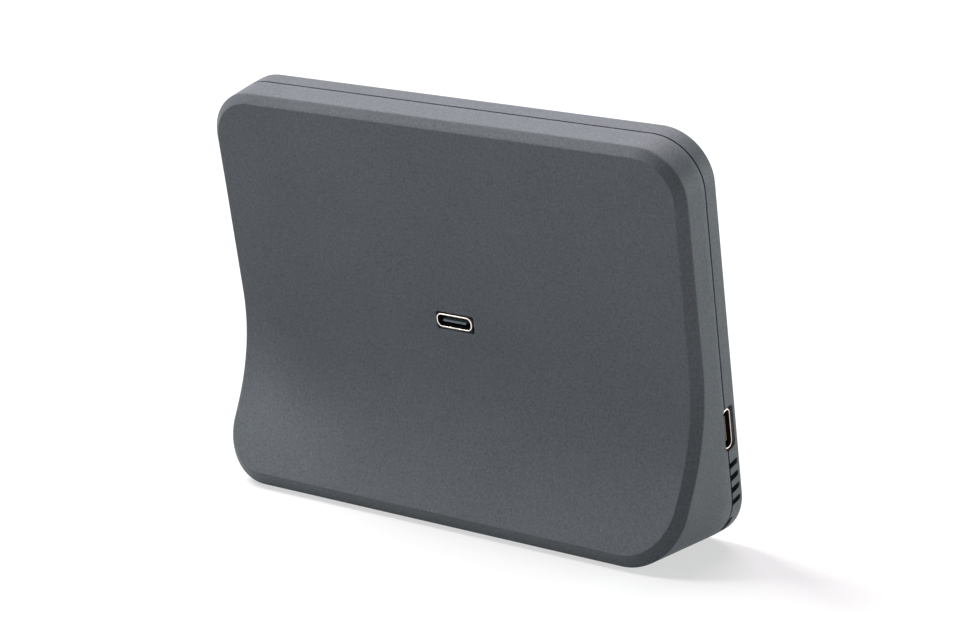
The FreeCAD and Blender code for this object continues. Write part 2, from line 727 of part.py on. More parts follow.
def build_front_shell():
    """Moulded frame: glass pocket and display window in front, lip, bosses and air slots behind."""
    block = brow_block("front_block", "0", "Sizes.front_depth", "0", "0", "Sizes.front_draft")
    dress(block, "Chamfer", "Sizes.front_edge", lambda edge: abs(middle(edge).y) < 1e-6)
    hollow = brow_block("front_hollow", SEAT_BACK, "Sizes.front_depth + Sizes.wall", "Sizes.wall",
                        "Sizes.floor_wall")
    glass_pocket = glass_outline("front_glass_pocket", "-Sizes.wall", "Sizes.wall + %s" % SEAT_FRONT,
                                 "Sizes.glass_gap")
    window = new_body("front_window")
    outline = new_sketch(window, "XZ_Plane", "0")
    half = "(%s + Sizes.display_gap)" % DISPLAY_HALF
    rectangle(outline, "-" + half, "Sizes.display_low - Sizes.display_gap", half,
              DISPLAY_HIGH + " + Sizes.display_gap")
    pad(window, outline, "Sizes.front_depth + Sizes.wall", reverse=True)
    spaces = combine("Part::MultiFuse", "front_spaces", [hollow, glass_pocket, window])
    frame = cut("front_frame", block, spaces)

    outer = thin_block("lip_outer", "Sizes.front_depth - Sizes.lip_height",
                       "Sizes.front_depth + Sizes.lip_height",
                       "Sizes.wall - Sizes.lip_thick", "Sizes.floor_wall - Sizes.lip_thick")
    inner = thin_block("lip_inner", "Sizes.front_depth - 2 * Sizes.lip_height",
                       "Sizes.front_depth + 2 * Sizes.lip_height", "Sizes.wall", "Sizes.floor_wall")
    lip = cut("front_lip", outer, inner)

    posts = []
    for name, across, up, radius in boss_places():
        posts.append(drum("front_boss_" + name, across, SEAT_FRONT, up, radius,
                          "%s - %s" % (BOARD_FRONT, SEAT_FRONT)))
    solid = combine("Part::MultiFuse", "front_solid", [frame, lip] + posts)

    cutters = side_openings("front")
    for name, across, up, _ in boss_places()[:4]:
        cutters.append(drum("front_pilot_" + name, across, SEAT_BACK, up,
                            "Sizes.screw_radius + Sizes.pilot_gap", "Sizes.front_depth + Sizes.wall"))
    slots = new_body("slot_cutter")
    outline = new_sketch(slots, "YZ_Plane", "-(Sizes.width / 2 + Sizes.wall)")
    reach = "(Sizes.slot_reach + Sizes.lip_height + Sizes.slot_width)"
    stadium(outline, "Sizes.front_depth - Sizes.slot_reach + %s / 2" % reach, "Sizes.slot_top", reach,
            "Sizes.slot_width")
    first = pad(slots, outline, "2 * Sizes.wall + Sizes.lip_thick / 2")
    spread(slots, first, outline, "Sizes.slot_pitch", "Sizes.slot_count", "V_Axis", backwards=True)
    cutters.append(slots)
    cutters.append(build_pry_cutter())
    place(cut("front_shell", solid, combine("Part::MultiFuse", "front_cutters", cutters)))


def build_pry_cutter():
    """A short notch in the parting line on a lower corner, where a blade opens the shells.
    The block lies square to the line from the corner's centre to the middle of the notch."""
    cutter = doc.addObject("Part::Box", "pry_cutter")
    cutter.setExpression("Length", "Sizes.pry_length")
    cutter.setExpression("Width", "Sizes.pry_width + Sizes.lip_gap")
    cutter.setExpression("Height", "2 * Sizes.pry_depth")
    centre_across = "-(Sizes.width / 2 - Sizes.bottom_corner)"
    centre_up = "(Sizes.bottom_corner + Sizes.front_depth * sin(Sizes.lean)) / cos(Sizes.lean)"
    out = "(Sizes.bottom_corner + Sizes.pry_depth)"
    across = "%s - %s * cos(Sizes.pry_angle) - Sizes.pry_length / 2 * sin(Sizes.pry_angle)" % (
        centre_across, out)
    up = "%s - %s * sin(Sizes.pry_angle) + Sizes.pry_length / 2 * cos(Sizes.pry_angle)" % (centre_up, out)
    cutter.setExpression("Placement", "placement(vector(%s; Sizes.front_depth - Sizes.pry_width; %s);"
                         " rotation(vector(0; 1; 0); 90 - Sizes.pry_angle))" % (across, up))
    return cutter


def boss_places():
    """Name, place and radius of each post behind the frame: four for the board, two for the sensor."""
    board = [
        (name + side, from_side("boss_inset", sign), up, "Sizes.boss_radius")
        for name, up in (("low_", "Sizes.boss_low"), ("high_", "Sizes.height - Sizes.boss_drop"))
        for side, sign in (("left", "-"), ("right", ""))
    ]
    sensor = [
        (name, from_side(name + "_post_inset"), "Sizes.%s_post_up" % name, "Sizes.sensor_post_radius")
        for name in ("inner", "outer")
    ]
    return board + sensor


def build_glass_and_display():
    """From the front: cover glass, its ring of tape, the clear bond, and the display in its steel tray."""
    glass = glass_outline("cover_glass", "0", "Sizes.glass_thick", "0")
    dress(glass, "Chamfer", "Sizes.glass_edge", lambda edge: abs(middle(edge).y) < 1e-6)
    place(glass)

    ring = glass_outline("glass_tape", "Sizes.glass_thick", "Sizes.tape_thick", "-Sizes.glass_gap")
    sketch = new_sketch(ring, "XZ_Plane", "-Sizes.glass_thick")
    inner_half = "(%s - Sizes.glass_gap - Sizes.tape_width)" % GLASS_HALF
    rectangle(sketch, "-" + inner_half, GLASS_LOW + " + Sizes.glass_gap + Sizes.tape_width", inner_half,
              GLASS_HIGH + " - Sizes.glass_gap - Sizes.tape_width")
    pocket(ring, sketch, "2 * Sizes.tape_thick", symmetric=True)
    place(ring)

    place(brick("display_bond", "0", "Sizes.glass_thick", DISPLAY_CENTRE, DISPLAY_WIDTH, "Sizes.tape_thick",
                DISPLAY_HEIGHT))
    tray = brick("backlight_tray", "0", SEAT_FRONT, DISPLAY_CENTRE, DISPLAY_WIDTH, TRAY_DEPTH,
                 DISPLAY_HEIGHT)
    sketch = new_sketch(tray, "XZ_Plane", "-" + SEAT_FRONT)
    half = "(%s - Sizes.tray_wall)" % DISPLAY_HALF
    rectangle(sketch, "-" + half, "Sizes.display_low + Sizes.tray_wall", half,
              DISPLAY_HIGH + " - Sizes.tray_wall")
    pocket(tray, sketch, "%s - Sizes.tray_wall" % TRAY_DEPTH)
    place(tray)
    front = SEAT_FRONT
    for name in ("cell", "diffuser", "light_guide"):
        thick = "Sizes.%s_thick" % name
        place(brick("display_" + name, "0", front, DISPLAY_CENTRE, DISPLAY_WIDTH + " - 2 * Sizes.tray_wall",
                    thick, DISPLAY_HEIGHT + " - 2 * Sizes.tray_wall"))
        front = "%s + %s" % (front, thick)


def build_tails():
    """The flat cables of the display and of the touch layer, each bent up to its socket on the board."""
    socket_front = "(%s - Sizes.socket_thick)" % BOARD_FRONT
    plug_depth = "(%s - Sizes.socket_thick / 2)" % BOARD_FRONT
    socket_low = "Sizes.socket_up - Sizes.socket_tall / 2"
    behind = "%s + Sizes.tail_thick" % TRAY_BACK
    far_side = "%s + Sizes.tail_thick / 2" % plug_depth
    near_side = "%s - Sizes.tail_thick / 2" % plug_depth
    display = new_body("display_tail")
    sketch = new_sketch(display, "YZ_Plane")
    polygon(sketch, (
        (TRAY_BACK, "Sizes.tail_start"), (behind, "Sizes.tail_start"), (behind, "Sizes.tail_bend"),
        (far_side, socket_low), (near_side, socket_low), (TRAY_BACK, "Sizes.tail_bend"),
    ))
    pad(display, sketch, "Sizes.tail_wide", symmetric=True)
    place(display)
    slit_low = "Sizes.display_low - (Sizes.display_gap + Sizes.tail_thick) / 2"
    slit_high = "Sizes.display_low - (Sizes.display_gap - Sizes.tail_thick) / 2"
    touch = new_body("touch_tail")
    sketch = new_sketch(touch, "YZ_Plane", "Sizes.touch_across")
    polygon(sketch, (
        ("Sizes.glass_thick", slit_low), (behind, slit_low), (behind, "Sizes.tail_bend"),
        (far_side, socket_low), (near_side, socket_low), (TRAY_BACK, "Sizes.tail_bend"),
        (TRAY_BACK, slit_high), ("Sizes.glass_thick", slit_high),
    ))
    pad(touch, sketch, "Sizes.touch_wide", symmetric=True)
    place(touch)
    for name, across, wide in (("display_socket", "0", "Sizes.tail_wide"),
                               ("touch_socket", "Sizes.touch_across", "Sizes.touch_wide")):
        place(brick(name, across, socket_front, "Sizes.socket_up", "%s + Sizes.socket_tall / 2" % wide,
                    "Sizes.socket_thick", "Sizes.socket_tall"))


def sheet_board(name, left, low, right, high, corner):
    """A board parallel to the panel, with round corners."""
    board = new_body(name)
    sketch = new_sketch(board, "XZ_Plane", "-" + BOARD_FRONT)
    rectangle(sketch, left, low, right, high)
    pad(board, sketch, "Sizes.board_thick", reverse=True)
    dress(board, "Fillet", corner, along_depth)
    return board


def build_boards():
    """The main board with its four screws, and the small air sensor board with its ribbon."""
    board = sheet_board("main_board", "-" + BOARD_HALF, "Sizes.board_low", BOARD_HALF, BOARD_HIGH,
                        "Sizes.board_corner")
    holes = new_sketch(board, "XZ_Plane", "-" + BOARD_FRONT)
    for _, across, up, _ in boss_places()[:4]:
        circle(holes, across, up, "Sizes.screw_radius + Sizes.screw_gap")
    pocket(board, holes, "Sizes.board_thick")
    place(board)

    screws = []
    for name, across, up, _ in boss_places()[:4]:
        shank = drum("shank_" + name, across, "%s - Sizes.screw_length" % BOARD_BACK, up,
                     "Sizes.screw_radius", "Sizes.screw_length")
        head = drum("head_" + name, across, BOARD_BACK, up, "Sizes.screw_head_radius",
                    "Sizes.screw_head_thick")
        drive = new_sketch(head, "XZ_Plane", "-(%s + Sizes.screw_head_thick)" % BOARD_BACK)
        half, arm = "Sizes.screw_slot_length / 2", "Sizes.screw_slot_width / 2"
        rectangle(drive, "%s - %s" % (across, half), "%s - %s" % (up, arm), "%s + %s" % (across, half),
                  "%s + %s" % (up, arm))
        pocket(head, drive, "Sizes.screw_head_thick / 2", reverse=True)
        screws += [shank, head]
    place(combine("Part::MultiFuse", "board_screws", screws))

    sensor_left = from_side("sensor_inset")
    place(sheet_board("sensor_board", sensor_left, "Sizes.sensor_low", sensor_left + " + Sizes.sensor_wide",
                      "Sizes.sensor_high", "Sizes.sensor_corner"))
    place(brick("sensor_chip", from_side("sensor_chip_inset"), "%s - Sizes.sensor_chip_thick" % BOARD_FRONT,
                "Sizes.sensor_chip_up", "Sizes.sensor_chip_side", "Sizes.sensor_chip_thick",
                "Sizes.sensor_chip_side"))
    place(brick("sensor_link", from_side("link_inset"), BOARD_BACK, "(Sizes.link_low + Sizes.link_high) / 2",
                "Sizes.link_wide", "Sizes.link_thick", "Sizes.link_high - Sizes.link_low"))


def build_board_parts():
    """Chips, coil, buzzer, clock cell and radio module on the back of the main board."""
    chips = (
        ("processor_part", from_side("processor_inset", ""), "Sizes.processor_up", "Sizes.processor_side",
         "Sizes.processor_thick", "Sizes.processor_side"),
        ("memory_part", from_side("memory_inset", ""), "Sizes.memory_up", "Sizes.memory_wide",
         "Sizes.memory_thick", "Sizes.memory_tall"),
        ("power_part", from_side("power_inset"), "Sizes.power_up", "Sizes.power_side",
         "Sizes.power_thick", "Sizes.power_side"),
        ("coil_part", from_side("coil_inset"), "Sizes.coil_up", "Sizes.coil_side",
         "Sizes.coil_thick", "Sizes.coil_side"),
    )
    for name, across, up, wide, thick, tall in chips:
        chip = brick(name, across, BOARD_BACK, up, wide, thick, tall)
        chip_back = value("%s + %s" % (BOARD_BACK, thick))
        dress(chip, "Chamfer", "Sizes.chip_edge", lambda edge: abs(middle(edge).y - chip_back) < 1e-6)
        place(chip)
    row = brick("capacitors", from_side("capacitor_inset"), BOARD_BACK, "Sizes.capacitor_up",
                "Sizes.capacitor_wide", "Sizes.capacitor_thick", "Sizes.capacitor_tall")
    spread(row, row.Tip, new_sketch(row, "XZ_Plane"), "Sizes.capacitor_pitch", "Sizes.capacitor_count")
    place(row)

    across = from_side("buzzer_inset", "")
    buzzer = drum("buzzer", across, BOARD_BACK, "Sizes.buzzer_up", "Sizes.buzzer_radius",
                  "Sizes.buzzer_thick")
    sketch = new_sketch(buzzer, "XZ_Plane", "-(%s + Sizes.buzzer_thick)" % BOARD_BACK)
    circle(sketch, across, "Sizes.buzzer_up", "Sizes.buzzer_hole")
    pocket(buzzer, sketch, "Sizes.buzzer_thick / 2", reverse=True)
    place(buzzer)

    across = from_side("cell_inset", "")
    holder = brick("cell_holder", across, BOARD_BACK, "Sizes.cell_up", "Sizes.holder_side",
                   "Sizes.holder_rim", "Sizes.holder_side")
    sketch = new_sketch(holder, "XZ_Plane", "-(%s + Sizes.holder_rim)" % BOARD_BACK)
    circle(sketch, across, "Sizes.cell_up", "Sizes.cell_radius")
    pocket(holder, sketch, "Sizes.holder_rim - Sizes.holder_base", reverse=True)
    place(holder)
    place(drum("coin_cell", across, "%s + Sizes.holder_base" % BOARD_BACK, "Sizes.cell_up",
               "Sizes.cell_radius - Sizes.screw_gap", "Sizes.coin_thick"))

    radio_back = "(%s + Sizes.radio_thick)" % BOARD_BACK
    across = from_side("radio_inset")
    radio_up = "(Sizes.height - Sizes.radio_drop)"
    place(brick("radio_board", across, BOARD_BACK, radio_up, "Sizes.radio_wide", "Sizes.radio_thick",
                "Sizes.radio_tall"))
    shield_up = "(%s - (Sizes.radio_tall - Sizes.shield_tall) / 2 + Sizes.shield_margin)" % radio_up
    shield = brick("radio_shield", across, radio_back, shield_up, "Sizes.shield_wide", "Sizes.shield_thick",
                   "Sizes.shield_tall")
    sketch = new_sketch(shield, "XZ_Plane", "-" + radio_back)
    half = "(Sizes.shield_wide / 2 - Sizes.shield_sheet)"
    tall = "(Sizes.shield_tall / 2 - Sizes.shield_sheet)"
    rectangle(sketch, "%s - %s" % (across, half), "%s - %s" % (shield_up, tall),
              "%s + %s" % (across, half), "%s + %s" % (shield_up, tall))
    pocket(shield, sketch, "Sizes.shield_thick - Sizes.shield_sheet")
    place(shield)


def build_port(name, role, across, up, upright, base, length):
    """A port's drawn steel shell, its moulded tongue and the rows of contacts on both faces of the tongue.
    It is drawn from the base, and grows towards the mouth against the sketch plane's normal."""
    shell = new_body(name + "_shell")
    sketch = new_sketch(shell, role, base)
    bore_width = "(Sizes.port_width - 2 * Sizes.port_sheet)"
    bore_thick = "(Sizes.port_thick - 2 * Sizes.port_sheet)"
    stadium(sketch, across, up, "Sizes.port_width", "Sizes.port_thick", upright)
    stadium(sketch, across, up, bore_width, bore_thick, upright)
    pad(shell, sketch, length, reverse=True)
    place(shell)

    tongue = new_body(name + "_tongue")
    sketch = new_sketch(tongue, role, base)
    stadium(sketch, across, up, bore_width, bore_thick, upright)
    pad(tongue, sketch, "Sizes.port_block", reverse=True)
    sketch = new_sketch(tongue, role, base)
    half_long, half_thick = "Sizes.tongue_width / 2", "Sizes.tongue_thick / 2"
    reach_across, reach_up = (half_thick, half_long) if upright else (half_long, half_thick)
    rectangle(sketch, "%s - %s" % (across, reach_across), "%s - %s" % (up, reach_up),
              "%s + %s" % (across, reach_across), "%s + %s" % (up, reach_up))
    pad(tongue, sketch, "%s - Sizes.tongue_setback" % length, reverse=True)
    place(tongue)

    contacts = new_body(name + "_contacts")
    start = "(%s) - (%s) + Sizes.tongue_setback + Sizes.pad_setback + Sizes.pad_length" % (base, length)
    sketch = new_sketch(contacts, role, start)
    first = "Sizes.pad_pitch * (Sizes.pad_count - 1) / 2"
    for inner, outer in (("+ Sizes.tongue_thick / 2", "+ Sizes.tongue_thick / 2 + Sizes.pad_thick"),
                         ("- Sizes.tongue_thick / 2 - Sizes.pad_thick", "- Sizes.tongue_thick / 2")):
        near, far = "- %s - Sizes.pad_width / 2" % first, "- %s + Sizes.pad_width / 2" % first
        if upright:
            rectangle(sketch, across + inner, up + near, across + outer, up + far)
        else:
            rectangle(sketch, across + near, up + inner, across + far, up + outer)
    pads = pad(contacts, sketch, "Sizes.pad_length", reverse=True)
    spread(contacts, pads, sketch, "Sizes.pad_pitch", "Sizes.pad_count", "V_Axis" if upright else "H_Axis")
    place(contacts)


def build_foot_strips():
    """Two rubber strips in the grooves of the level foot, standing a little proud of it."""
    for name in ("front", "rear"):
        strip = new_body("foot_strip_" + name)
        sketch = new_sketch(strip, "XY_Plane", "-Sizes.strip_proud")
        stadium(sketch, "0", "Sizes.strip_" + name, "Sizes.strip_length", "Sizes.strip_width")
        pad(strip, sketch, "Sizes.strip_thick")
        place(strip, LEVEL)


def write_pieces():
    """Every object is checked, then each piece goes to a file of its own name."""
    doc.recompute()
    faulty = [item.Name for item in doc.Objects if {"Invalid", "Error"} & set(item.State)]
    faulty += [piece.Name for piece in pieces if piece.Shape.isNull() or not piece.Shape.isValid()]
    if faulty:
        raise RuntimeError("not built: " + ", ".join(faulty))
    os.makedirs("parts", exist_ok=True)
    for piece in pieces:
        piece.Shape.exportStep("parts/%s.step" % piece.Label)


build_rear_shell()
build_front_shell()
build_glass_and_display()
build_tails()
build_boards()
build_board_parts()
build_port("rear_port", "XZ_Plane", "0", "Sizes.rear_port_height", False, "-" + BOARD_BACK,
           "(%s - Sizes.rear_port_sink - %s)" % (BACK_AT_PORT, BOARD_BACK))
build_port("side_port", "YZ_Plane", "Sizes.side_port_depth", "Sizes.side_port_height", True,
           "-(Sizes.width / 2 - Sizes.side_port_sink - Sizes.side_port_length)", "Sizes.side_port_length")
build_foot_strips()
write_pieces()
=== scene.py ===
import json
import math

import bpy
import numpy as np
from mathutils import Matrix, Vector


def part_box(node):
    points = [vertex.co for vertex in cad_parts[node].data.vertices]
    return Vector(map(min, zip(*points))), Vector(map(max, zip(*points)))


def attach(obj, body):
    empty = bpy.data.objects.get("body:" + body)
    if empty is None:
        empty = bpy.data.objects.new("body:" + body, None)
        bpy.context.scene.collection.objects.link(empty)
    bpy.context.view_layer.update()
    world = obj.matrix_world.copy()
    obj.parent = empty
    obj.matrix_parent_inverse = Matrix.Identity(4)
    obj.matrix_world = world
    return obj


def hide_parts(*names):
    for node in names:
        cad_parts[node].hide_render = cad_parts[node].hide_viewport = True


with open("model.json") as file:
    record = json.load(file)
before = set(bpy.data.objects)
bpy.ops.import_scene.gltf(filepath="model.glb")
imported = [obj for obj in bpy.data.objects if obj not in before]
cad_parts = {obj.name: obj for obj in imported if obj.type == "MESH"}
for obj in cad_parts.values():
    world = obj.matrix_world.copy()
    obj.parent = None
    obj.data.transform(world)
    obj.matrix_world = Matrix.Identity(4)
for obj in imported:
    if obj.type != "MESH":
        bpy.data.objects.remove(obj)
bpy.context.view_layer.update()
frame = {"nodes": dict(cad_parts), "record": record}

# Driving sizes in millimetres. Places are (across, depth, height): depth runs to the rear from the face
# of the glass, and height runs up the leaning panel from the front edge of the foot.
LEAN = math.radians(15.0)
STRIP_FRONT = 8.5
SETBACK = STRIP_FRONT - 500 * float(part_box("foot_strip_front")[0][1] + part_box("foot_strip_front")[1][1])
STANDING = 0.4
HALF_WIDTH = 500 * float(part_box("front_shell")[1][0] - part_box("front_shell")[0][0])
PANEL_HEIGHT = 94.0
FRONT_DEPTH = 4.4
FRONT_EDGE = 0.35
PARTING_GAP = 0.35
PARTING_DEPTH = 0.5
FRONT_DRAFT = math.tan(math.radians(2.7))
REAR_DRAFT = math.tan(math.radians(1.5))
HEAD_CORNER = 11.0
FOOT_CORNER = 12.0
WALL = 2.0
LIP_INSET = 1.0
LIP_REACH = 1.0
LIP_GAP = 0.1
MOULD_EDGE = 0.12
STRETCH = 1 / math.cos(LEAN)
# How far a cut starts outside a surface and runs on inside the wall, the room round a piece in its seat,
# and a length too short to matter
BEYOND = 1.0
THROUGH = 0.1
FIT = 0.02
TINY = 1e-9

# The scoop: centre of its circle, and for each back surface the radius, the taper above and the flare below
SCOOP_CENTRE = (54.113, 46.853)
FACE = (40.5, 0.5, 38.0)
RIM = (42.9, -0.2, 35.6)
CAVITY = (42.9, 0.5, 38.0)
BEVEL_INSET = 1.8
BEVEL_RISE = 3.0
RIM_EDGE = 0.25
CREASE_EDGE = 0.2
CAVITY_RISE = 2.2
# Shares of the way from the bevel to the port's mouth at which the rows across the face lie
FACE_START = 0.02
FACE_END = 0.97
FACE_LAST = 0.98
FACE_ROWS = 72
CAVITY_ROWS = 30

# The glass in its pocket, and the display behind it
GLASS_HALF = 55.593
GLASS_FOOT = 3.0
GLASS_HEAD = 91.0
GLASS_CORNER = 8.0
GLASS_GAP = 0.15
GLASS_THICK = 1.1
SEAT_DEPTH = 1.3
WINDOW_DEPTH = 2.5
WINDOW_HALF = 50.05
WINDOW_FOOT = 16.7
WINDOW_HEAD = 79.3
WINDOW_CORNER = 0.4
DISPLAY_BORDER = 1.5
DISPLAY_MIDDLE = (WINDOW_FOOT + WINDOW_HEAD) / 2
DISPLAY_HALF_WIDTH = WINDOW_HALF - DISPLAY_BORDER
DISPLAY_HALF_HEIGHT = (WINDOW_HEAD - WINDOW_FOOT) / 2 - DISPLAY_BORDER
DISPLAY_COLOUR = (0.10, 0.105, 0.115)

# The two ports, their mouths in the housing, and the board that carries them
PORT_WIDTH = 8.94
PORT_THICK = 3.26
PORT_SHEET = 0.31
PORT_LIP = 0.14
PORT_CORNER = 1.35
PORT_ROWS = 16
# Rows at the end of a tube's section, its inner walls, which take a dark finish as painted shade
INSIDE_ROWS = 4
TUBE_ROWS = (2.0, 0.5)
PORT_GAP = 0.35
BLOCK_LENGTH = 2.2
TONGUE_WIDTH = 5.8
TONGUE_THICK = 0.5
TONGUE_CORNER = 0.1
TIP_EDGE = 0.05
TONGUE_SETBACK = 0.2
SIDE_TONGUE_SETBACK = 0.55
PAD_SETBACK = 1.8
PAD_COUNT = 12
PAD_PITCH = 0.47
PAD_WIDTH = 0.25
PAD_THICK = 0.05
PAD_SINK = 0.01
PAD_LENGTH = 2.4
REAR_PORT_HEIGHT = 48.4
REAR_PORT_MOUTH = 13.548
MOUTH_GAP = 0.4
MOUTH_CORNER = 0.6
MOUTH_SHIFT = 0.26
MOUTH_HALF = 4.77
SIDE_PORT_HEIGHT = 29.25
SIDE_PORT_DEPTH = 3.75
SIDE_PORT_MOUTH = -(HALF_WIDTH - 0.3)
SIDE_PORT_LENGTH = 7.35
SIDE_MOUTH_FRONT = 1.2
SIDE_MOUTH_REAR = 5.4
SIDE_MOUTH_LENGTH = 9.75
SIDE_MOUTH_CORNER = 1.2
BOARD_THICK = 1.2
BOARD_BACK = SIDE_PORT_DEPTH + PORT_THICK / 2 + BOARD_THICK
COLLAR_WALL = 1.2
COLLAR_DEPTH = BOARD_BACK + 0.5

# Air slots, opening notch and rubber strips
SLOT_WIDTH = 1.35
SLOT_PITCH = 2.87
SLOT_TOP = 20.76
SLOT_FRONT = 1.0
SLOT_COUNT = 4
SLOT_REACH = 2.45
SLOT_PAST = 0.2
PRY_LENGTH = 4.8
PRY_FRONT = 3.0
PRY_REAR = 5.05
PRY_DEPTH = 0.55
PRY_TURN = math.radians(37.0)
STRIP_LENGTH = 88.0
STRIP_WIDTH = 5.0
STRIP_THICK = 1.2
STRIP_STEPS = 32

# Finishes: the middle range of a noise, the size of a mottle, and the pale specks
MIDDLE_RANGE = (0.3, 0.7)
MOTTLE_SIZE = 0.5
SPECK_REACH = 0.035
SPECK_LEAST = 0.9
SPECK_COLOUR = (0.62, 0.66, 0.64)

# Studio: the floor's half size in metres, and the camera's place, lens and axes, right, up and backwards
FLOOR_REACH = 6.0
CAMERA_PLACE = (-0.32153, 0.48674, 0.180847)
CAMERA_LENS = 105.592
CAMERA_AXES = ((-0.83162, -0.554582, 0.029104), (0.1512, -0.175682, 0.972766),
               (-0.534366, 0.813373, 0.229953))


def in_the_room(places):
    """Panel places in millimetres, turned by the lean about the front edge of the foot, moved back so that
    the foot is centred, and stood on the rubber strips, in metres."""
    across, depth, height = np.moveaxis(np.asarray(places, float), -1, 0)
    level = depth * math.cos(LEAN) + height * math.sin(LEAN) - SETBACK
    rise = height * math.cos(LEAN) - depth * math.sin(LEAN) + STANDING
    return np.stack((across, level, rise), -1) / 1000


def stations(flat, corner, side):
    """Stations round a rounded rectangle, anticlockwise from its lower left: the side and the share of the
    height at which each one's corner circle has its centre, and the angle at which it faces outwards."""
    runs = ((-1, 1, 0, 0, -90, -90, flat), (1, 1, 0, 0, -90, 0, corner), (1, 1, 0, 1, 0, 0, side),
            (1, 1, 1, 1, 0, 90, corner), (1, -1, 1, 1, 90, 90, flat), (-1, -1, 1, 1, 90, 180, corner),
            (-1, -1, 1, 0, 180, 180, side), (-1, -1, 0, 0, 180, 270, corner))
    parts = [
        np.stack([np.linspace(start, end, count, endpoint=False)
                  for start, end in ((side_0, side_1), (share_0, share_1), (turn_0, turn_1))])
        for side_0, side_1, share_0, share_1, turn_0, turn_1, count in runs
    ]
    side_of, share, turn = np.concatenate(parts, 1)
    return side_of, share, np.cos(np.radians(turn)), np.sin(np.radians(turn))


SIDE_OF, SHARE, OUT_ACROSS, OUT_UP = stations(flat=60, corner=22, side=84)


def ring(depth, half, foot, head, foot_corner, head_corner, stretch=1.0):
    """Loop on a rounded rectangle: the centre of each station's corner circle, plus the radius times the
    outward direction. Lower corners are stretched upwards, so that they are round square to the foot."""
    depth = depth + np.zeros(len(SHARE))
    radius = foot_corner + (head_corner - foot_corner) * SHARE
    across = SIDE_OF * (half - radius) + OUT_ACROSS * radius
    low = foot + stretch * foot_corner * (1 + np.minimum(OUT_UP, 0))
    high = head - head_corner * (1 - np.maximum(OUT_UP, 0))
    return np.stack((across, depth, low + (high - low) * SHARE), -1)


def housing_ring(depth, inset=0.0, rise=0.0):
    """Outline of the housing at a depth: its sides lean in from the parting line both ways by their draft,
    and its lower edge is the level foot, which climbs with the depth by the tangent of the lean."""
    behind = depth - FRONT_DEPTH
    draft = np.where(behind > 0, behind * REAR_DRAFT, -behind * FRONT_DRAFT)
    return ring(depth, HALF_WIDTH - inset - draft, depth * math.tan(LEAN) + rise * STRETCH,
                PANEL_HEIGHT - inset, FOOT_CORNER - inset, HEAD_CORNER - inset, STRETCH)


def back_depth(height, surface):
    """Depth of a back surface at a height: a straight taper down to the scoop, then the circle's centre less
    the root of radius squared minus rise squared, then a straight flare down to the foot."""
    radius, taper, flare = surface[0], math.radians(surface[1]), math.radians(surface[2])
    depth_0, height_0 = SCOOP_CENTRE
    top, low = height_0 - radius * math.sin(taper), height_0 - radius * math.sin(flare)
    above = depth_0 - radius * math.cos(taper) - (height - top) * math.tan(taper)
    below = depth_0 - radius * math.cos(flare) + (low - height) * math.tan(flare)
    arc = depth_0 - np.sqrt(np.maximum(radius ** 2 - (height - height_0) ** 2, 0))
    return np.where(height > top, above, np.where(height < low, below, arc))


def edge_ring(surface, inset=0.0, rise=0.0, first_guess=10.0, rounds=40):
    """Loop where the housing's sides meet a back surface: depth is moved to the surface's depth at the
    loop's own heights until the two agree."""
    depth = np.full(len(SHARE), first_guess)
    for _ in range(rounds):
        depth = back_depth(housing_ring(depth, inset, rise)[:, 2], surface)
    return housing_ring(depth, inset, rise)


def between(start, end, shares):
    """Loops at these shares of the way from one loop to another."""
    shares = np.asarray(shares, float)[:, None, None]
    return start + (end - start) * shares


def softened(before, corner, after, size, steps=6):
    """Loops round a softened edge: the circular arc that leaves one side and meets the other at the given
    size from the corner. It is the weighted quadratic curve drawn towards the corner, whose weight is the
    root of half of one less the cosine of the corner's angle."""
    lead = (before - corner) / np.linalg.norm(before - corner, axis=-1, keepdims=True)
    trail = (after - corner) / np.linalg.norm(after - corner, axis=-1, keepdims=True)
    weight = np.sqrt(np.maximum(1 - (lead * trail).sum(-1, keepdims=True), 0) / 2)
    t = np.linspace(0, 1, steps)[:, None, None]
    at_start, at_corner, at_end = (1 - t) ** 2, 2 * t * (1 - t) * weight, t ** 2
    pull = (at_start * lead + at_end * trail) * size / (at_start + at_corner + at_end)
    return corner + pull


def slot_ring(towards, centre, half_long, half_thick, corner):
    """Loop round an opening, one point on each ray from its centre to the loop given: the nearer of the
    two straight sides, or the corner circle where the ray leaves through a corner."""
    ray = towards[:, (0, 2)] - np.asarray(centre)
    ray = ray / np.linalg.norm(ray, axis=1, keepdims=True)
    size = np.abs(ray) + TINY
    flat = np.minimum(half_long / size[:, 0], half_thick / size[:, 1])
    hub = np.array([half_long - corner, half_thick - corner])
    along = size @ hub
    curved = along + np.sqrt(np.maximum(along ** 2 - hub @ hub + corner ** 2, 0))
    at_corner = (size * flat[:, None] > hub).all(1)
    reach = np.where(at_corner, curved, flat)
    return np.asarray(centre) + ray * reach[:, None]


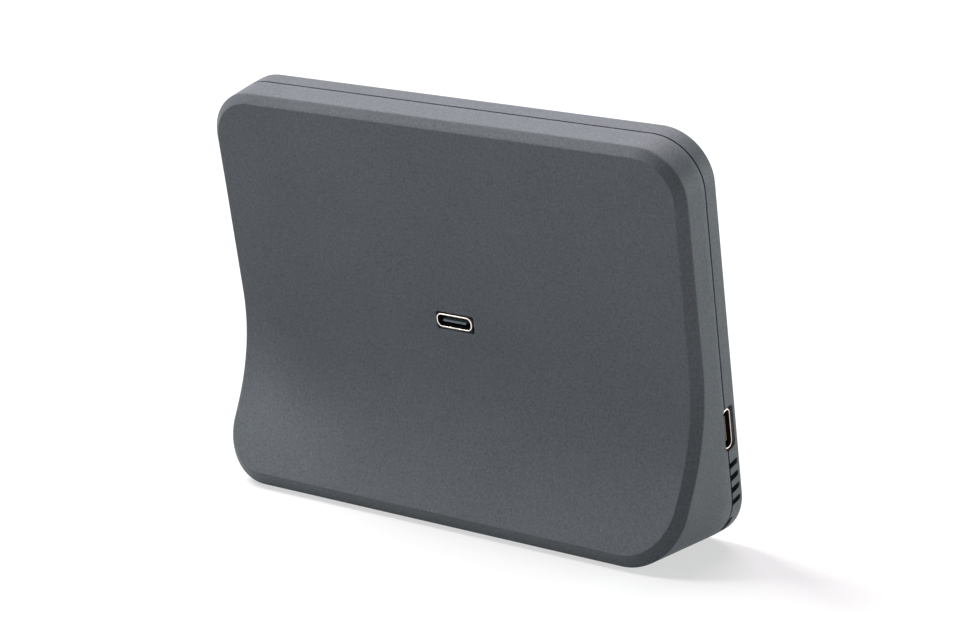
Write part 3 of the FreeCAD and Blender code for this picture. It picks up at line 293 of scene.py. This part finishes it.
def skin(name, loops, closed, placed=True):
    """Mesh over loops of points, each loop joined to the next by four-sided faces. Closed means that the
    last loop joins the first; otherwise a fan closes each end. Faces are turned outwards by the sign of
    the volume that they hold."""
    loops = np.asarray(loops, float)
    rows, columns = loops.shape[:2]
    points = loops.reshape(-1, 3)
    row = np.arange(rows if closed else rows - 1)[:, None]
    column = np.arange(columns)[None, :]
    after, beside = (row + 1) % rows, (column + 1) % columns
    quads = np.stack(np.broadcast_arrays(
        row * columns + column, row * columns + beside, after * columns + beside, after * columns + column,
    ), -1).reshape(-1, 4)
    fans = np.zeros((0, 3), int)
    if not closed:
        ends = len(points) + np.arange(2)
        points = np.concatenate((points, loops[0].mean(0)[None], loops[-1].mean(0)[None]))
        around = np.arange(columns)
        last = (rows - 1) * columns
        fans = np.concatenate((
            np.stack((around, np.full(columns, ends[0]), (around + 1) % columns), 1),
            np.stack((last + around, last + (around + 1) % columns, np.full(columns, ends[1])), 1),
        ))
    if placed:
        points = in_the_room(points)
    halves = np.concatenate((quads[:, :3], quads[:, (0, 2, 3)], fans))
    corners = points[halves]
    volume = np.einsum("ij,ij->i", corners[:, 0], np.cross(corners[:, 1], corners[:, 2])).sum()
    if volume < 0:
        quads, fans = quads[:, ::-1], fans[:, ::-1]
    mesh = bpy.data.meshes.new(name)
    mesh.vertices.add(len(points))
    mesh.vertices.foreach_set("co", points.ravel())
    mesh.loops.add(quads.size + fans.size)
    mesh.loops.foreach_set("vertex_index", np.concatenate((quads.ravel(), fans.ravel())))
    mesh.polygons.add(len(quads) + len(fans))
    starts = np.concatenate((np.arange(len(quads)) * 4, quads.size + np.arange(len(fans)) * 3))
    mesh.polygons.foreach_set("loop_start", starts)
    mesh.update(calc_edges=True)
    mesh.validate()
    piece = bpy.data.objects.new(name, mesh)
    bpy.context.scene.collection.objects.link(piece)
    return piece


def smooth(piece, sharp=32.0):
    """Soft shading, with a hard edge wherever two faces meet at more than the angle given."""
    mesh = piece.data
    mesh.polygons.foreach_set("use_smooth", np.ones(len(mesh.polygons), bool))
    mesh.set_sharp_from_angle(angle=math.radians(sharp))


def carve(piece, cutters):
    """The piece less its cutters, worked out here and kept as plain faces."""
    for cutter in cutters:
        cut = piece.modifiers.new(cutter.name, "BOOLEAN")
        cut.operation = "DIFFERENCE"
        cut.solver = "EXACT"
        cut.object = cutter
    bpy.context.view_layer.update()
    carved = bpy.data.meshes.new_from_object(piece.evaluated_get(bpy.context.evaluated_depsgraph_get()))
    piece.modifiers.clear()
    piece.data = carved
    for cutter in cutters:
        bpy.data.objects.remove(cutter)


def stadium(half_long, radius, steps=24):
    """Closed outline of a slot with round ends, its long axis first: two half circles."""
    turn = np.radians(np.linspace(-90, 90, steps))
    right = np.stack((half_long - radius + radius * np.cos(turn), radius * np.sin(turn)), 1)
    return np.concatenate((right, -right))


def rounded(half_long, half_thick, corner, steps=12):
    """Closed outline of a rectangle with round corners, its long axis first: four quarter circles."""
    turn = np.radians(np.linspace(0, 90, steps))
    hub = np.array([half_long - corner, half_thick - corner])
    quarter = hub + corner * np.stack((np.cos(turn), np.sin(turn)), 1)
    beside = quarter[::-1] * (-1, 1)
    return np.concatenate((quarter, beside, -quarter, -beside))


def side_loop(outline, across, depth, height):
    """An outline stood upright in the side wall: its long axis along the height."""
    return np.stack((np.full(len(outline), across), depth + outline[:, 1], height + outline[:, 0]), -1)


def rear_loop(outline, depth, height):
    """An outline lying in the back: its long axis across."""
    return np.stack((outline[:, 0], np.full(len(outline), depth), height + outline[:, 1]), -1)


def level_loop(outline, level, rise):
    """An outline lying in the foot, in metres."""
    return np.stack((outline[:, 0], outline[:, 1] + level, np.full(len(outline), rise)), -1) / 1000


def rear_shell():
    """Closed grid: shadow line at the parting, drafted wall, softened rim, bevel, softened crease, scooped
    face drawn in to the mouth of the port, collar round the port, and back inside along the cavity."""
    line_floor = housing_ring(FRONT_DEPTH, PARTING_DEPTH, PARTING_DEPTH)
    line_foot = housing_ring(FRONT_DEPTH + PARTING_GAP, PARTING_DEPTH, PARTING_DEPTH)
    parting = housing_ring(FRONT_DEPTH + PARTING_GAP)
    rim = edge_ring(RIM)
    crease = edge_ring(FACE, BEVEL_INSET, BEVEL_RISE)
    centre = (-MOUTH_SHIFT, REAR_PORT_HEIGHT)
    half_long, half_thick = MOUTH_HALF, PORT_THICK / 2 + MOUTH_GAP
    mouth = slot_ring(crease, centre, half_long, half_thick, MOUTH_CORNER)

    def face(shares, surface, outer, inner):
        shares = np.asarray(shares, float)[:, None, None]
        flat = outer[:, (0, 2)] + (inner - outer[:, (0, 2)]) * shares
        return np.stack((flat[..., 0], back_depth(flat[..., 1], surface), flat[..., 1]), -1)

    def sunk(flat, depth):
        return np.stack((flat[:, 0], depth + 0 * flat[:, 0], flat[:, 1]), -1)

    first, last, mouth_edge = face([FACE_START, FACE_LAST, 1.0], FACE, crease, mouth)
    mouth_low = sunk(mouth, COLLAR_DEPTH)
    collar = slot_ring(crease, centre, half_long + COLLAR_WALL, half_thick + COLLAR_WALL, half_thick)
    collar_low = sunk(collar, COLLAR_DEPTH)
    hollow_edge = edge_ring(CAVITY, WALL, CAVITY_RISE)
    lip_depth = FRONT_DEPTH + LIP_REACH + LIP_GAP
    lip_foot = housing_ring(lip_depth, LIP_INSET, LIP_INSET)
    loops = [
        between(line_floor, line_foot, [0, 1]),
        softened(line_foot, parting, rim, MOULD_EDGE, steps=4),
        between(parting, rim, [0.25, 0.5, 0.75, 0.9]),
        softened(parting, rim, crease, RIM_EDGE),
        between(rim, crease, [0.3, 0.5, 0.7]),
        softened(rim, crease, first, CREASE_EDGE),
        face(np.linspace(FACE_START, FACE_END, FACE_ROWS), FACE, crease, mouth),
        softened(last, mouth_edge, mouth_low, MOULD_EDGE, steps=4),
        between(mouth_edge, mouth_low, [0.3, 0.7, 1.0]),
        [collar_low],
        face(np.linspace(1.0, 0.0, CAVITY_ROWS), CAVITY, hollow_edge, collar),
        between(hollow_edge, housing_ring(lip_depth, WALL, CAVITY_RISE), [0.5, 1.0]),
        between(lip_foot, housing_ring(FRONT_DEPTH, LIP_INSET, LIP_INSET), [0.0, 1.0]),
    ]
    return skin("rear_shell_moulding", np.concatenate(loops), closed=True)


def front_shell():
    """Closed grid: parting rim, drafted band, rounded front edge, pocket for the glass, its seat, window,
    inner wall, and the lip that enters the rear shell."""
    parting = housing_ring(FRONT_DEPTH)
    front = housing_ring(0.0)
    pocket_corner = GLASS_CORNER + GLASS_GAP

    def pocket_ring(depth, grow=0.0):
        return ring(depth, GLASS_HALF + GLASS_GAP + grow, GLASS_FOOT - GLASS_GAP - grow,
                    GLASS_HEAD + GLASS_GAP + grow, pocket_corner + grow, pocket_corner + grow)

    def window_ring(depth):
        return ring(depth, WINDOW_HALF, WINDOW_FOOT, WINDOW_HEAD, WINDOW_CORNER, WINDOW_CORNER)

    def wall_ring(depth):
        return housing_ring(depth, WALL, CAVITY_RISE)

    def lip_ring(depth):
        return housing_ring(depth, LIP_INSET + LIP_GAP, LIP_INSET + LIP_GAP)

    lip_depth = FRONT_DEPTH + LIP_REACH
    loops = [
        between(parting, front, [0, 0.3, 0.6]),
        softened(parting, front, housing_ring(0.0, 1.0, 1.0), FRONT_EDGE, steps=8),
        [pocket_ring(0.0, 0.3)],
        softened(pocket_ring(0.0, 1.0), pocket_ring(0.0), pocket_ring(1.0), MOULD_EDGE, steps=4),
        between(pocket_ring(0.6), pocket_ring(SEAT_DEPTH), [0, 1]),
        between(window_ring(SEAT_DEPTH), window_ring(WINDOW_DEPTH), [0, 1]),
        between(wall_ring(WINDOW_DEPTH), wall_ring(lip_depth), [0, 1]),
        between(lip_ring(lip_depth), lip_ring(FRONT_DEPTH), [0, 1]),
    ]
    return skin("front_shell_moulding", np.concatenate(loops), closed=True)


def side_cutters(front):
    """Tools that cut the side port's mouth and bed and the opening notch into a shell, and for the front
    shell the row of air slots with round front ends."""
    outside = -(HALF_WIDTH + BEYOND)
    middle_depth = (SIDE_MOUTH_FRONT + SIDE_MOUTH_REAR) / 2
    mouth = rounded(SIDE_MOUTH_LENGTH / 2, (SIDE_MOUTH_REAR - SIDE_MOUTH_FRONT) / 2, SIDE_MOUTH_CORNER)
    bed = rounded(PORT_WIDTH / 2 + PORT_GAP, PORT_THICK / 2 + FIT, PORT_CORNER)
    tools = [
        skin("side_mouth", [
            side_loop(mouth, across, middle_depth, SIDE_PORT_HEIGHT)
            for across in (outside, WALL + THROUGH - HALF_WIDTH)
        ], closed=False),
        skin("side_bed", [
            side_loop(bed, across, SIDE_PORT_DEPTH, SIDE_PORT_HEIGHT)
            for across in (outside, SIDE_PORT_MOUTH + SIDE_PORT_LENGTH + PORT_GAP)
        ], closed=False),
    ]
    middle = np.array([FOOT_CORNER - HALF_WIDTH, FOOT_CORNER])
    out = -np.array([math.cos(PRY_TURN), math.sin(PRY_TURN)])
    along = np.array([-out[1], out[0]])
    corners = [middle + out * (FOOT_CORNER + reach) + along * shift * PRY_LENGTH / 2
               for reach, shift in ((PRY_DEPTH, -1), (PRY_DEPTH, 1), (-PRY_DEPTH, 1), (-PRY_DEPTH, -1))]
    tools.append(skin("pry", [
        [(across, depth, depth * math.tan(LEAN) + level * STRETCH) for across, level in corners]
        for depth in (PRY_FRONT, PRY_REAR)
    ], closed=False))
    if not front:
        return tools
    half_long = (FRONT_DEPTH + SLOT_PAST - SLOT_FRONT) / 2 + SLOT_WIDTH / 2
    outline = stadium(half_long, SLOT_WIDTH / 2)
    for number in range(SLOT_COUNT):
        height = SLOT_TOP - number * SLOT_PITCH
        tools.append(skin("slot_%d" % number, [
            side_loop(outline[:, ::-1], across, SLOT_FRONT + half_long, height)
            for across in (outside, SLOT_REACH - HALF_WIDTH)
        ], closed=False))
    return tools


def strip_places():
    """Level place of each rubber strip's middle, from its node in the frame, in millimetres."""
    boxes = {name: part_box(name) for name in ("foot_strip_front", "foot_strip_rear")}
    return {name: 500 * float(low[1] + high[1]) for name, (low, high) in boxes.items()}


def foot_strip(name, level):
    """Rubber strip: a slot-shaped outline carried up from a softened lower edge to a flat top. Each row of
    the shape is an inset and a rise."""
    shape = ((0.5, 0.0), (0.18, 0.05), (0.05, 0.18), (0.0, 0.45), (0.0, STRIP_THICK))
    return skin(name + "_rubber", [
        level_loop(stadium(STRIP_LENGTH / 2 - inset, STRIP_WIDTH / 2 - inset, STRIP_STEPS), level, rise)
        for inset, rise in shape
    ], closed=False, placed=False)


def cover_glass():
    """Sheet of glass: its rounded outline carried from the front face round ground edges to the rear. Each
    row of the shape is an inset and a depth."""
    shape = ((6.0, 0.0), (0.45, 0.0), (0.3, 0.0), (0.12, 0.05), (0.03, 0.16), (0.0, 0.32), (0.0, 0.8),
             (0.1, 1.0), (0.3, GLASS_THICK), (6.0, GLASS_THICK))

    def sheet_ring(inset, depth):
        return ring(depth, GLASS_HALF - inset, GLASS_FOOT + inset, GLASS_HEAD - inset,
                    GLASS_CORNER - inset, GLASS_CORNER - inset)

    return skin("cover_glass_sheet", [sheet_ring(inset, depth) for inset, depth in shape], closed=False)


def port_shell(name, loop, mouth, base):
    """Drawn steel tube with round ends: a closed wall section with softened mouth edges, carried round."""
    turn = np.radians(np.linspace(0, 90, 5))
    outer = np.stack((PORT_LIP * (1 - np.cos(turn)), PORT_LIP * (1 - np.sin(turn))), 1)
    half = PORT_LIP / 2
    inner = np.stack((PORT_SHEET - half * (1 - np.sin(turn)), half * (1 - np.cos(turn))), 1)
    inward = 1 if base > mouth else -1
    rows = (abs(base - mouth),) + TUBE_ROWS
    section = [(0, below) for below in rows] + outer.tolist() + inner.tolist()
    section += [(PORT_SHEET, below) for below in rows[::-1]]

    def outline(inset):
        return rounded(PORT_WIDTH / 2 - inset, PORT_THICK / 2 - inset, PORT_CORNER - inset)

    return skin(name, [
        loop(outline(inset), mouth + inward * below) for inset, below in section
    ], closed=True)


def port_tongue(name, loop, mouth, base, setback):
    """Moulded insert of a port: a block that fills the closed end of the tube, then a thin blade that runs
    out to just behind the mouth, with a softened tip."""
    inward = 1 if base > mouth else -1
    block = rounded(PORT_WIDTH / 2 - PORT_SHEET, PORT_THICK / 2 - PORT_SHEET, PORT_CORNER - PORT_SHEET)
    blade = rounded(TONGUE_WIDTH / 2, TONGUE_THICK / 2, TONGUE_CORNER)
    blade_tip = rounded(TONGUE_WIDTH / 2 - TIP_EDGE, TONGUE_THICK / 2 - TIP_EDGE, TONGUE_CORNER - TIP_EDGE)
    step = base - inward * BLOCK_LENGTH
    tip = mouth + inward * setback
    return skin(name, [loop(block, base), loop(block, step), loop(blade, step),
                       loop(blade, tip + inward * TIP_EDGE), loop(blade_tip, tip)], closed=False)


def port_pads(name, place, mouth, base, setback):
    """Gold pads on both faces of a tongue: closed boxes, each corner the box's centre plus or minus half
    its sizes, at evenly spaced places along the tongue."""
    inward = 1 if base > mouth else -1
    along = (np.arange(PAD_COUNT) - (PAD_COUNT - 1) / 2) * PAD_PITCH
    away = np.array([-1, 1]) * (TONGUE_THICK + PAD_THICK) / 2
    middle = mouth + inward * (setback + PAD_LENGTH / 2)
    centres = np.stack(np.meshgrid(along, away, [middle], indexing="ij"), -1).reshape(-1, 1, 3)
    signs = np.stack(np.meshgrid((-1, 1), (-1, 1), (-1, 1), indexing="ij"), -1).reshape(-1, 3)
    half = np.array([PAD_WIDTH, PAD_THICK + PAD_SINK, PAD_LENGTH]) / 2
    points = in_the_room(place((centres + signs * half).reshape(-1, 3)))
    box = np.array([(0, 1, 3, 2), (4, 6, 7, 5), (0, 4, 5, 1), (2, 3, 7, 6), (0, 2, 6, 4), (1, 5, 7, 3)])
    quads = (box + 8 * np.arange(len(centres))[:, None, None]).reshape(-1, 4)
    corners = points[quads[:6]] - points[:8].mean(0)
    if np.einsum("ij,ij->i", corners[:, 0], np.cross(corners[:, 1], corners[:, 2])).sum() < 0:
        quads = quads[:, ::-1]
    mesh = bpy.data.meshes.new(name)
    mesh.from_pydata(points.tolist(), [], quads.tolist())
    piece = bpy.data.objects.new(name, mesh)
    bpy.context.scene.collection.objects.link(piece)
    return piece


def linear(colour):
    """A colour as written on a screen, 0 to 1, in the light that the shader counts with: the standard curve
    of screens, straight for the darkest shades and a power above them."""
    colour = np.asarray(colour, float)
    return tuple(np.where(colour > 0.04045, ((colour + 0.055) / 1.055) ** 2.4, colour / 12.92)) + (1.0,)


def new_node(tree, kind, **inputs):
    """A new node with its inputs set by name."""
    node = tree.nodes.new(kind)
    for name, number in inputs.items():
        node.inputs[name].default_value = number
    return node


def counted(tree, operation, *sources):
    """The result of one step of arithmetic in a shader, each source a socket or a number."""
    node = tree.nodes.new("ShaderNodeMath")
    node.operation = operation
    for source, target in zip(sources, node.inputs):
        if isinstance(source, bpy.types.NodeSocket):
            tree.links.new(source, target)
        else:
            target.default_value = source
    return node.outputs[0]


def stretched(tree, value, source, target):
    """A value carried from one range to another and held within it."""
    node = tree.nodes.new("ShaderNodeMapRange")
    for name, number in zip(("From Min", "From Max", "To Min", "To Max"), source + target):
        node.inputs[name].default_value = number
    tree.links.new(value, node.inputs["Value"])
    return node.outputs["Result"]


def noise(tree, place, size, detail, roughness):
    """A cloudy pattern whose clouds have a size in millimetres."""
    pattern = new_node(tree, "ShaderNodeTexNoise", Scale=1000 / size, Detail=detail, Roughness=roughness)
    tree.links.new(place, pattern.inputs["Vector"])
    return pattern.outputs["Fac"]


def tinted(tree, share, painted, colour):
    """A painted surface with another colour wherever the share is one."""
    mix = tree.nodes.new("ShaderNodeMix")
    mix.data_type = "RGBA"
    mix.inputs["B"].default_value = linear(colour)
    tree.links.new(share, mix.inputs["Factor"])
    tree.links.new(painted, mix.inputs["A"])
    return mix.outputs["Result"]


def finish(name, colour, roughness, metallic=0.0, gloss=0.5, drift=0.06, drift_size=18.0, mottle=0.0,
           grain=0.2, grain_height=0.004, rough_spread=0.06, specks=0.0):
    """A procedural finish: a slow drift and a fine mottle of the colour, a fine grain that lifts the surface
    and varies its roughness, and pale specks in a few cells of a cell pattern. Sizes are in millimetres."""
    material = bpy.data.materials.new(name)
    material.use_nodes = True
    tree = material.node_tree
    links = tree.links
    shader = tree.nodes["Principled BSDF"]
    shader.inputs["Metallic"].default_value = metallic
    shader.inputs["Specular IOR Level"].default_value = gloss
    place = tree.nodes.new("ShaderNodeTexCoord").outputs["Object"]

    tone = tree.nodes.new("ShaderNodeValToRGB")
    for stop, position, share in zip(tone.color_ramp.elements, MIDDLE_RANGE, (1 - drift, 1 + drift)):
        stop.position = position
        stop.color = linear(np.clip(np.asarray(colour, float) * share, 0, 1))
    links.new(noise(tree, place, drift_size, detail=3.0, roughness=0.55), tone.inputs["Fac"])
    painted = tone.outputs["Color"]
    if mottle:
        cloud = noise(tree, place, MOTTLE_SIZE, detail=2.0, roughness=0.6)
        mottled = tree.nodes.new("ShaderNodeVectorMath")
        mottled.operation = "SCALE"
        links.new(painted, mottled.inputs[0])
        links.new(stretched(tree, cloud, (0.0, 1.0), (1 - mottle, 1 + mottle)), mottled.inputs["Scale"])
        painted = mottled.outputs["Vector"]
    if specks:
        cells = new_node(tree, "ShaderNodeTexVoronoi", Scale=1000 / specks, Randomness=1.0)
        links.new(place, cells.inputs["Vector"])
        pick = tree.nodes.new("ShaderNodeSeparateColor")
        links.new(cells.outputs["Color"], pick.inputs["Color"])
        near = counted(tree, "LESS_THAN", cells.outputs["Distance"], SPECK_REACH)
        chosen = counted(tree, "GREATER_THAN", pick.outputs["Red"], SPECK_LEAST)
        painted = tinted(tree, counted(tree, "MULTIPLY", near, chosen), painted, SPECK_COLOUR)
    links.new(painted, shader.inputs["Base Color"])

    fine = noise(tree, place, grain, detail=2.0, roughness=0.6)
    rough =(max(roughness - rough_spread, 0.02), min(roughness + rough_spread, 1.0))
    links.new(stretched(tree, fine, MIDDLE_RANGE, rough), shader.inputs["Roughness"])
    lift = new_node(tree, "ShaderNodeBump", Strength=1.0, Distance=grain_height / 1000)
    links.new(fine, lift.inputs["Height"])
    links.new(lift.outputs["Normal"], shader.inputs["Normal"])
    return material


# The looks by name: colour, roughness, and what else differs from a plain finish
MOULDED = {"gloss": 0.2, "drift": 0.03, "drift_size": 30.0, "mottle": 0.45, "grain": 0.22,
           "grain_height": 0.012, "specks": 3.4}
POLISHED = {"gloss": 0.4, "drift": 0.08, "grain": 2.0, "grain_height": 0.0004, "rough_spread": 0.02}
STEEL = {"metallic": 1.0, "drift": 0.02, "drift_size": 3.0, "grain": 0.3, "grain_height": 0.001}
FIRED = {"drift": 0.08, "grain": 0.1, "grain_height": 0.006}
LOOKS = {
    "charcoal_plastic": ((0.417, 0.438, 0.459), 0.56, MOULDED),
    "front_glass": ((0.040, 0.043, 0.048), 0.06, POLISHED),
    "black_tape": ((0.08, 0.08, 0.08), 0.75, {"grain": 0.3}),
    "clear_bond": ((0.80, 0.83, 0.83), 0.15, {"drift": 0.02}),
    "display_black": ((0.06, 0.07, 0.09), 0.12, {"drift": 0.1}),
    "white_sheet": ((0.90, 0.90, 0.88), 0.6, {"drift": 0.01}),
    "clear_acrylic": ((0.86, 0.89, 0.89), 0.1, {"drift": 0.02}),
    "pressed_steel": ((0.66, 0.67, 0.68), 0.34, {"metallic": 1.0, "drift": 0.05, "grain": 0.5}),
    "plated_steel": ((0.97, 0.94, 0.91), 0.2, STEEL),
    # A darker, pinker copy of the plated steel: painted shade, and a painted tint of the reflection on the
    # side port's rim
    "shaded_plated_steel": ((0.86, 0.79, 0.75), 0.25, STEEL),
    # A dark finish on the inner walls of the tubes: painted shade inside the ports
    "painted_shade_inside": ((0.12, 0.12, 0.13), 0.8, {"drift": 0.05, "grain": 0.3, "gloss": 0.1}),
    "amber_film": ((0.62, 0.36, 0.10), 0.3, {"drift": 0.08}),
    "cream_plastic": ((0.85, 0.82, 0.74), 0.5, {"drift": 0.03}),
    "green_board": ((0.10, 0.33, 0.21), 0.35, {"drift": 0.15, "drift_size": 4.0}),
    "black_resin": ((0.10, 0.10, 0.105), 0.55, FIRED),
    "grey_ferrite": ((0.28, 0.28, 0.29), 0.65, FIRED),
    "tan_ceramic": ((0.60, 0.48, 0.33), 0.4, {"drift": 0.06}),
    "tongue_grey": ((0.47, 0.55, 0.57), 0.45, {"drift": 0.04, "grain": 0.15}),
    "tongue_in_shade": ((0.13, 0.12, 0.12), 0.5, {"drift": 0.05, "grain": 0.15}),
    "gold_contact": ((0.92, 0.74, 0.42), 0.3, {"metallic": 0.5, "drift": 0.05, "drift_size": 2.0}),
    "foot_rubber": ((0.11, 0.11, 0.112), 0.8, {"drift": 0.1, "grain": 0.25, "grain_height": 0.02}),
}
FINISHES = {
    name: finish(name, colour, roughness, **more)
    for name, (colour, roughness, more) in LOOKS.items()
}


def show_display(material):
    """Makes the glass a shade lighter over the display: where the distance across and the distance up the
    leaning panel from the display's middle are both under half its size."""
    tree = material.node_tree
    painted = tree.nodes["Principled BSDF"].inputs["Base Color"]
    border = painted.links[0].from_socket
    place = tree.nodes.new("ShaderNodeTexCoord").outputs["Object"]
    height = DISPLAY_MIDDLE + STANDING * math.cos(LEAN) - SETBACK * math.sin(LEAN)
    inside = []
    for axis, middle, half in (((1, 0, 0), 0.0, DISPLAY_HALF_WIDTH),
                               ((0, math.sin(LEAN), math.cos(LEAN)), height, DISPLAY_HALF_HEIGHT)):
        along = tree.nodes.new("ShaderNodeVectorMath")
        along.operation = "DOT_PRODUCT"
        along.inputs[1].default_value = axis
        tree.links.new(place, along.inputs[0])
        inside.append(counted(tree, "COMPARE", along.outputs["Value"], middle / 1000, half / 1000))
    tree.links.new(tinted(tree, counted(tree, "MULTIPLY", *inside), border, DISPLAY_COLOUR), painted)


show_display(FINISHES["front_glass"])


def dress(piece, slot):
    """Gives a piece the finish of a slot as its only one."""
    piece.data.materials.clear()
    piece.data.materials.append(FINISHES[slot])


# Every solid has the finish of its slot
for row in frame["record"]["subparts"]:
    node = frame["nodes"][row["node"]]
    material = FINISHES[row["material_slot"]]
    if node.material_slots:
        for held in node.material_slots:
            held.material = material
    else:
        node.data.materials.append(material)

# The two shells with their openings, the glass, the ports and the rubber strips
rear = rear_shell()
levels = strip_places()
strips = {name: foot_strip(name, level) for name, level in levels.items()}
groove = stadium(STRIP_LENGTH / 2 + FIT, STRIP_WIDTH / 2 + FIT, STRIP_STEPS)
grooves = [
    skin(name + "_groove", [level_loop(groove, level, rise) for rise in (-BEYOND, STRIP_THICK + FIT)],
         closed=False, placed=False)
    for name, level in levels.items()
]
carve(rear, side_cutters(front=False) + grooves)
front = front_shell()
carve(front, side_cutters(front=True))
glass = cover_glass()
made = [(rear, "rear_shell", "charcoal_plastic"), (front, "front_shell", "charcoal_plastic"),
        (glass, "cover_glass", "front_glass")]
# Each port: how its outlines and its pads lie, its mouth and closed end, and how far behind the mouth its
# tongue and its pads begin
ports = (
    ("rear_port", lambda outline, depth: rear_loop(outline, depth, REAR_PORT_HEIGHT),
     lambda points: points[:, (0, 2, 1)] + (0, 0, REAR_PORT_HEIGHT), REAR_PORT_MOUTH, BOARD_BACK,
     TONGUE_SETBACK, PAD_SETBACK),
    ("side_port", lambda outline, across: side_loop(outline, across, SIDE_PORT_DEPTH, SIDE_PORT_HEIGHT),
     lambda points: points[:, (2, 1, 0)] + (0, SIDE_PORT_DEPTH, SIDE_PORT_HEIGHT),
     SIDE_PORT_MOUTH, SIDE_PORT_MOUTH + SIDE_PORT_LENGTH, SIDE_TONGUE_SETBACK, SIDE_TONGUE_SETBACK),
)
for name, loop, place, mouth, base, setback, pads_back in ports:
    made += [(port_shell(name + "_tube", loop, mouth, base), name + "_shell", "plated_steel"),
             (port_tongue(name + "_blade", loop, mouth, base, setback), name + "_tongue", "tongue_grey"),
             (port_pads(name + "_pads", place, mouth, base, pads_back), name + "_contacts", "gold_contact")]
made += [(strips[name], name, "foot_rubber") for name in strips]
for piece, node, slot in made:
    if not node.endswith("_contacts"):
        smooth(piece)
    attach(piece, "root")
    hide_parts(node)
    dress(piece, slot)
# Painted shade: the side port's tongue and tube take darker copies of their finishes, standing in for the
# shade in its recess
bpy.data.objects["side_port_blade"].data.materials[0] = FINISHES["tongue_in_shade"]
# The side tube's copy of the plated steel is also pinker: a painted tint of the reflection on its rim
bpy.data.objects["side_port_tube"].data.materials[0] = FINISHES["shaded_plated_steel"]
# The inner walls of both tubes get a dark finish: painted shade inside the ports
inside = np.arange(PORT_ROWS) >= PORT_ROWS - INSIDE_ROWS
for name in ("rear_port_tube", "side_port_tube"):
    tube = bpy.data.objects[name].data
    tube.materials.append(FINISHES["painted_shade_inside"])
    faces = np.repeat(inside, len(tube.polygons) // PORT_ROWS)
    tube.polygons.foreach_set("material_index", faces.astype(np.int32))


def soft_light(name, source, strength, spread, colour):
    """A broad distant light from a direction, its source spread over an angle in degrees."""
    data = bpy.data.lights.new(name, "SUN")
    data.energy, data.angle, data.color = strength, math.radians(spread), colour
    light = bpy.data.objects.new(name, data)
    light.rotation_euler = Vector(source).to_track_quat("Z", "Y").to_euler()
    bpy.context.scene.collection.objects.link(light)


def by_ray(tree, usual, seen, *kinds):
    """The seen shader for rays of these kinds, and the usual one for all others."""
    path = tree.nodes.new("ShaderNodeLightPath")
    share = path.outputs[kinds[0]]
    for kind in kinds[1:]:
        share = counted(tree, "MAXIMUM", share, path.outputs[kind])
    choice = tree.nodes.new("ShaderNodeMixShader")
    tree.links.new(share, choice.inputs["Fac"])
    tree.links.new(usual.outputs[0], choice.inputs[1])
    tree.links.new(seen.outputs[0], choice.inputs[2])
    return choice.outputs[0]


def white_to_the_eye(tree, surface, strength):
    """Adds white light to a surface for camera, glossy and transmission rays alone."""
    dark = new_node(tree, "ShaderNodeEmission", Strength=0.0)
    glow = new_node(tree, "ShaderNodeEmission", Strength=strength)
    both = tree.nodes.new("ShaderNodeAddShader")
    tree.links.new(surface, both.inputs[0])
    tree.links.new(by_ray(tree, dark, glow, "Is Camera Ray", "Is Glossy Ray", "Is Transmission Ray"),
                   both.inputs[1])
    return both.outputs[0]


def studio():
    """A pale level floor, faint soft light from all round, and four broad lights: overhead, over the front,
    low at the side and low behind."""
    scene = bpy.context.scene
    scene.view_settings.view_transform = "Standard"
    world = bpy.data.worlds.new("studio")
    scene.world = world
    world.use_nodes = True
    tree = world.node_tree
    sky = tree.nodes["Background"]
    sky.inputs["Color"].default_value = (0.96, 0.98, 1.0, 1.0)
    sky.inputs["Strength"].default_value = 0.02
    clear = new_node(tree, "ShaderNodeBackground", Color=(1.0, 1.0, 1.0, 1.0), Strength=1.0)
    tree.links.new(by_ray(tree, sky, clear, "Is Camera Ray", "Is Glossy Ray"),
                   tree.nodes["World Output"].inputs["Surface"])

    mesh = bpy.data.meshes.new("floor")
    corners = [(-1, -1), (1, -1), (1, 1), (-1, 1)]
    mesh.from_pydata([(FLOOR_REACH * x, FLOOR_REACH * y, 0) for x, y in corners], [], [(0, 1, 2, 3)])
    floor = bpy.data.objects.new("floor", mesh)
    scene.collection.objects.link(floor)
    paint = bpy.data.materials.new("pale_floor")
    paint.use_nodes = True
    tree = paint.node_tree
    shader = tree.nodes["Principled BSDF"]
    shader.inputs["Base Color"].default_value = (0.42, 0.42, 0.42, 1.0)
    shader.inputs["Roughness"].default_value = 0.9
    shader.inputs["Specular IOR Level"].default_value = 0.1
    tree.links.new(white_to_the_eye(tree, shader.outputs[0], strength=0.6),
                   tree.nodes["Material Output"].inputs["Surface"])
    mesh.materials.append(paint)

    soft_light("overhead", (0.7, 0.1, 1.0), strength=3.35, spread=25, colour=(1.0, 1.0, 1.0))
    soft_light("over_the_front", (0.3, -0.6, 1.0), strength=1.6, spread=35, colour=(1.0, 0.88, 0.96))
    soft_light("from_the_side", (-0.58, -0.81, 0.06), strength=1.95, spread=30, colour=(0.9, 1.0, 0.97))
    soft_light("from_behind", (0.6, 0.75, 0.12), strength=0.68, spread=30, colour=(0.99, 1.0, 1.0))


def photographer():
    """Camera at the photograph's angle: its place, its three axes and its lens."""
    data = bpy.data.cameras.new("photographer")
    data.sensor_width = 36.0
    data.lens = CAMERA_LENS
    data.clip_start, data.clip_end = 0.05, 20.0
    camera = bpy.data.objects.new("photographer", data)
    turn = Matrix(CAMERA_AXES).transposed()
    camera.matrix_world = Matrix.Translation(CAMERA_PLACE) @ turn.to_4x4()
    bpy.context.scene.collection.objects.link(camera)
    bpy.context.scene.camera = camera


studio()
photographer()
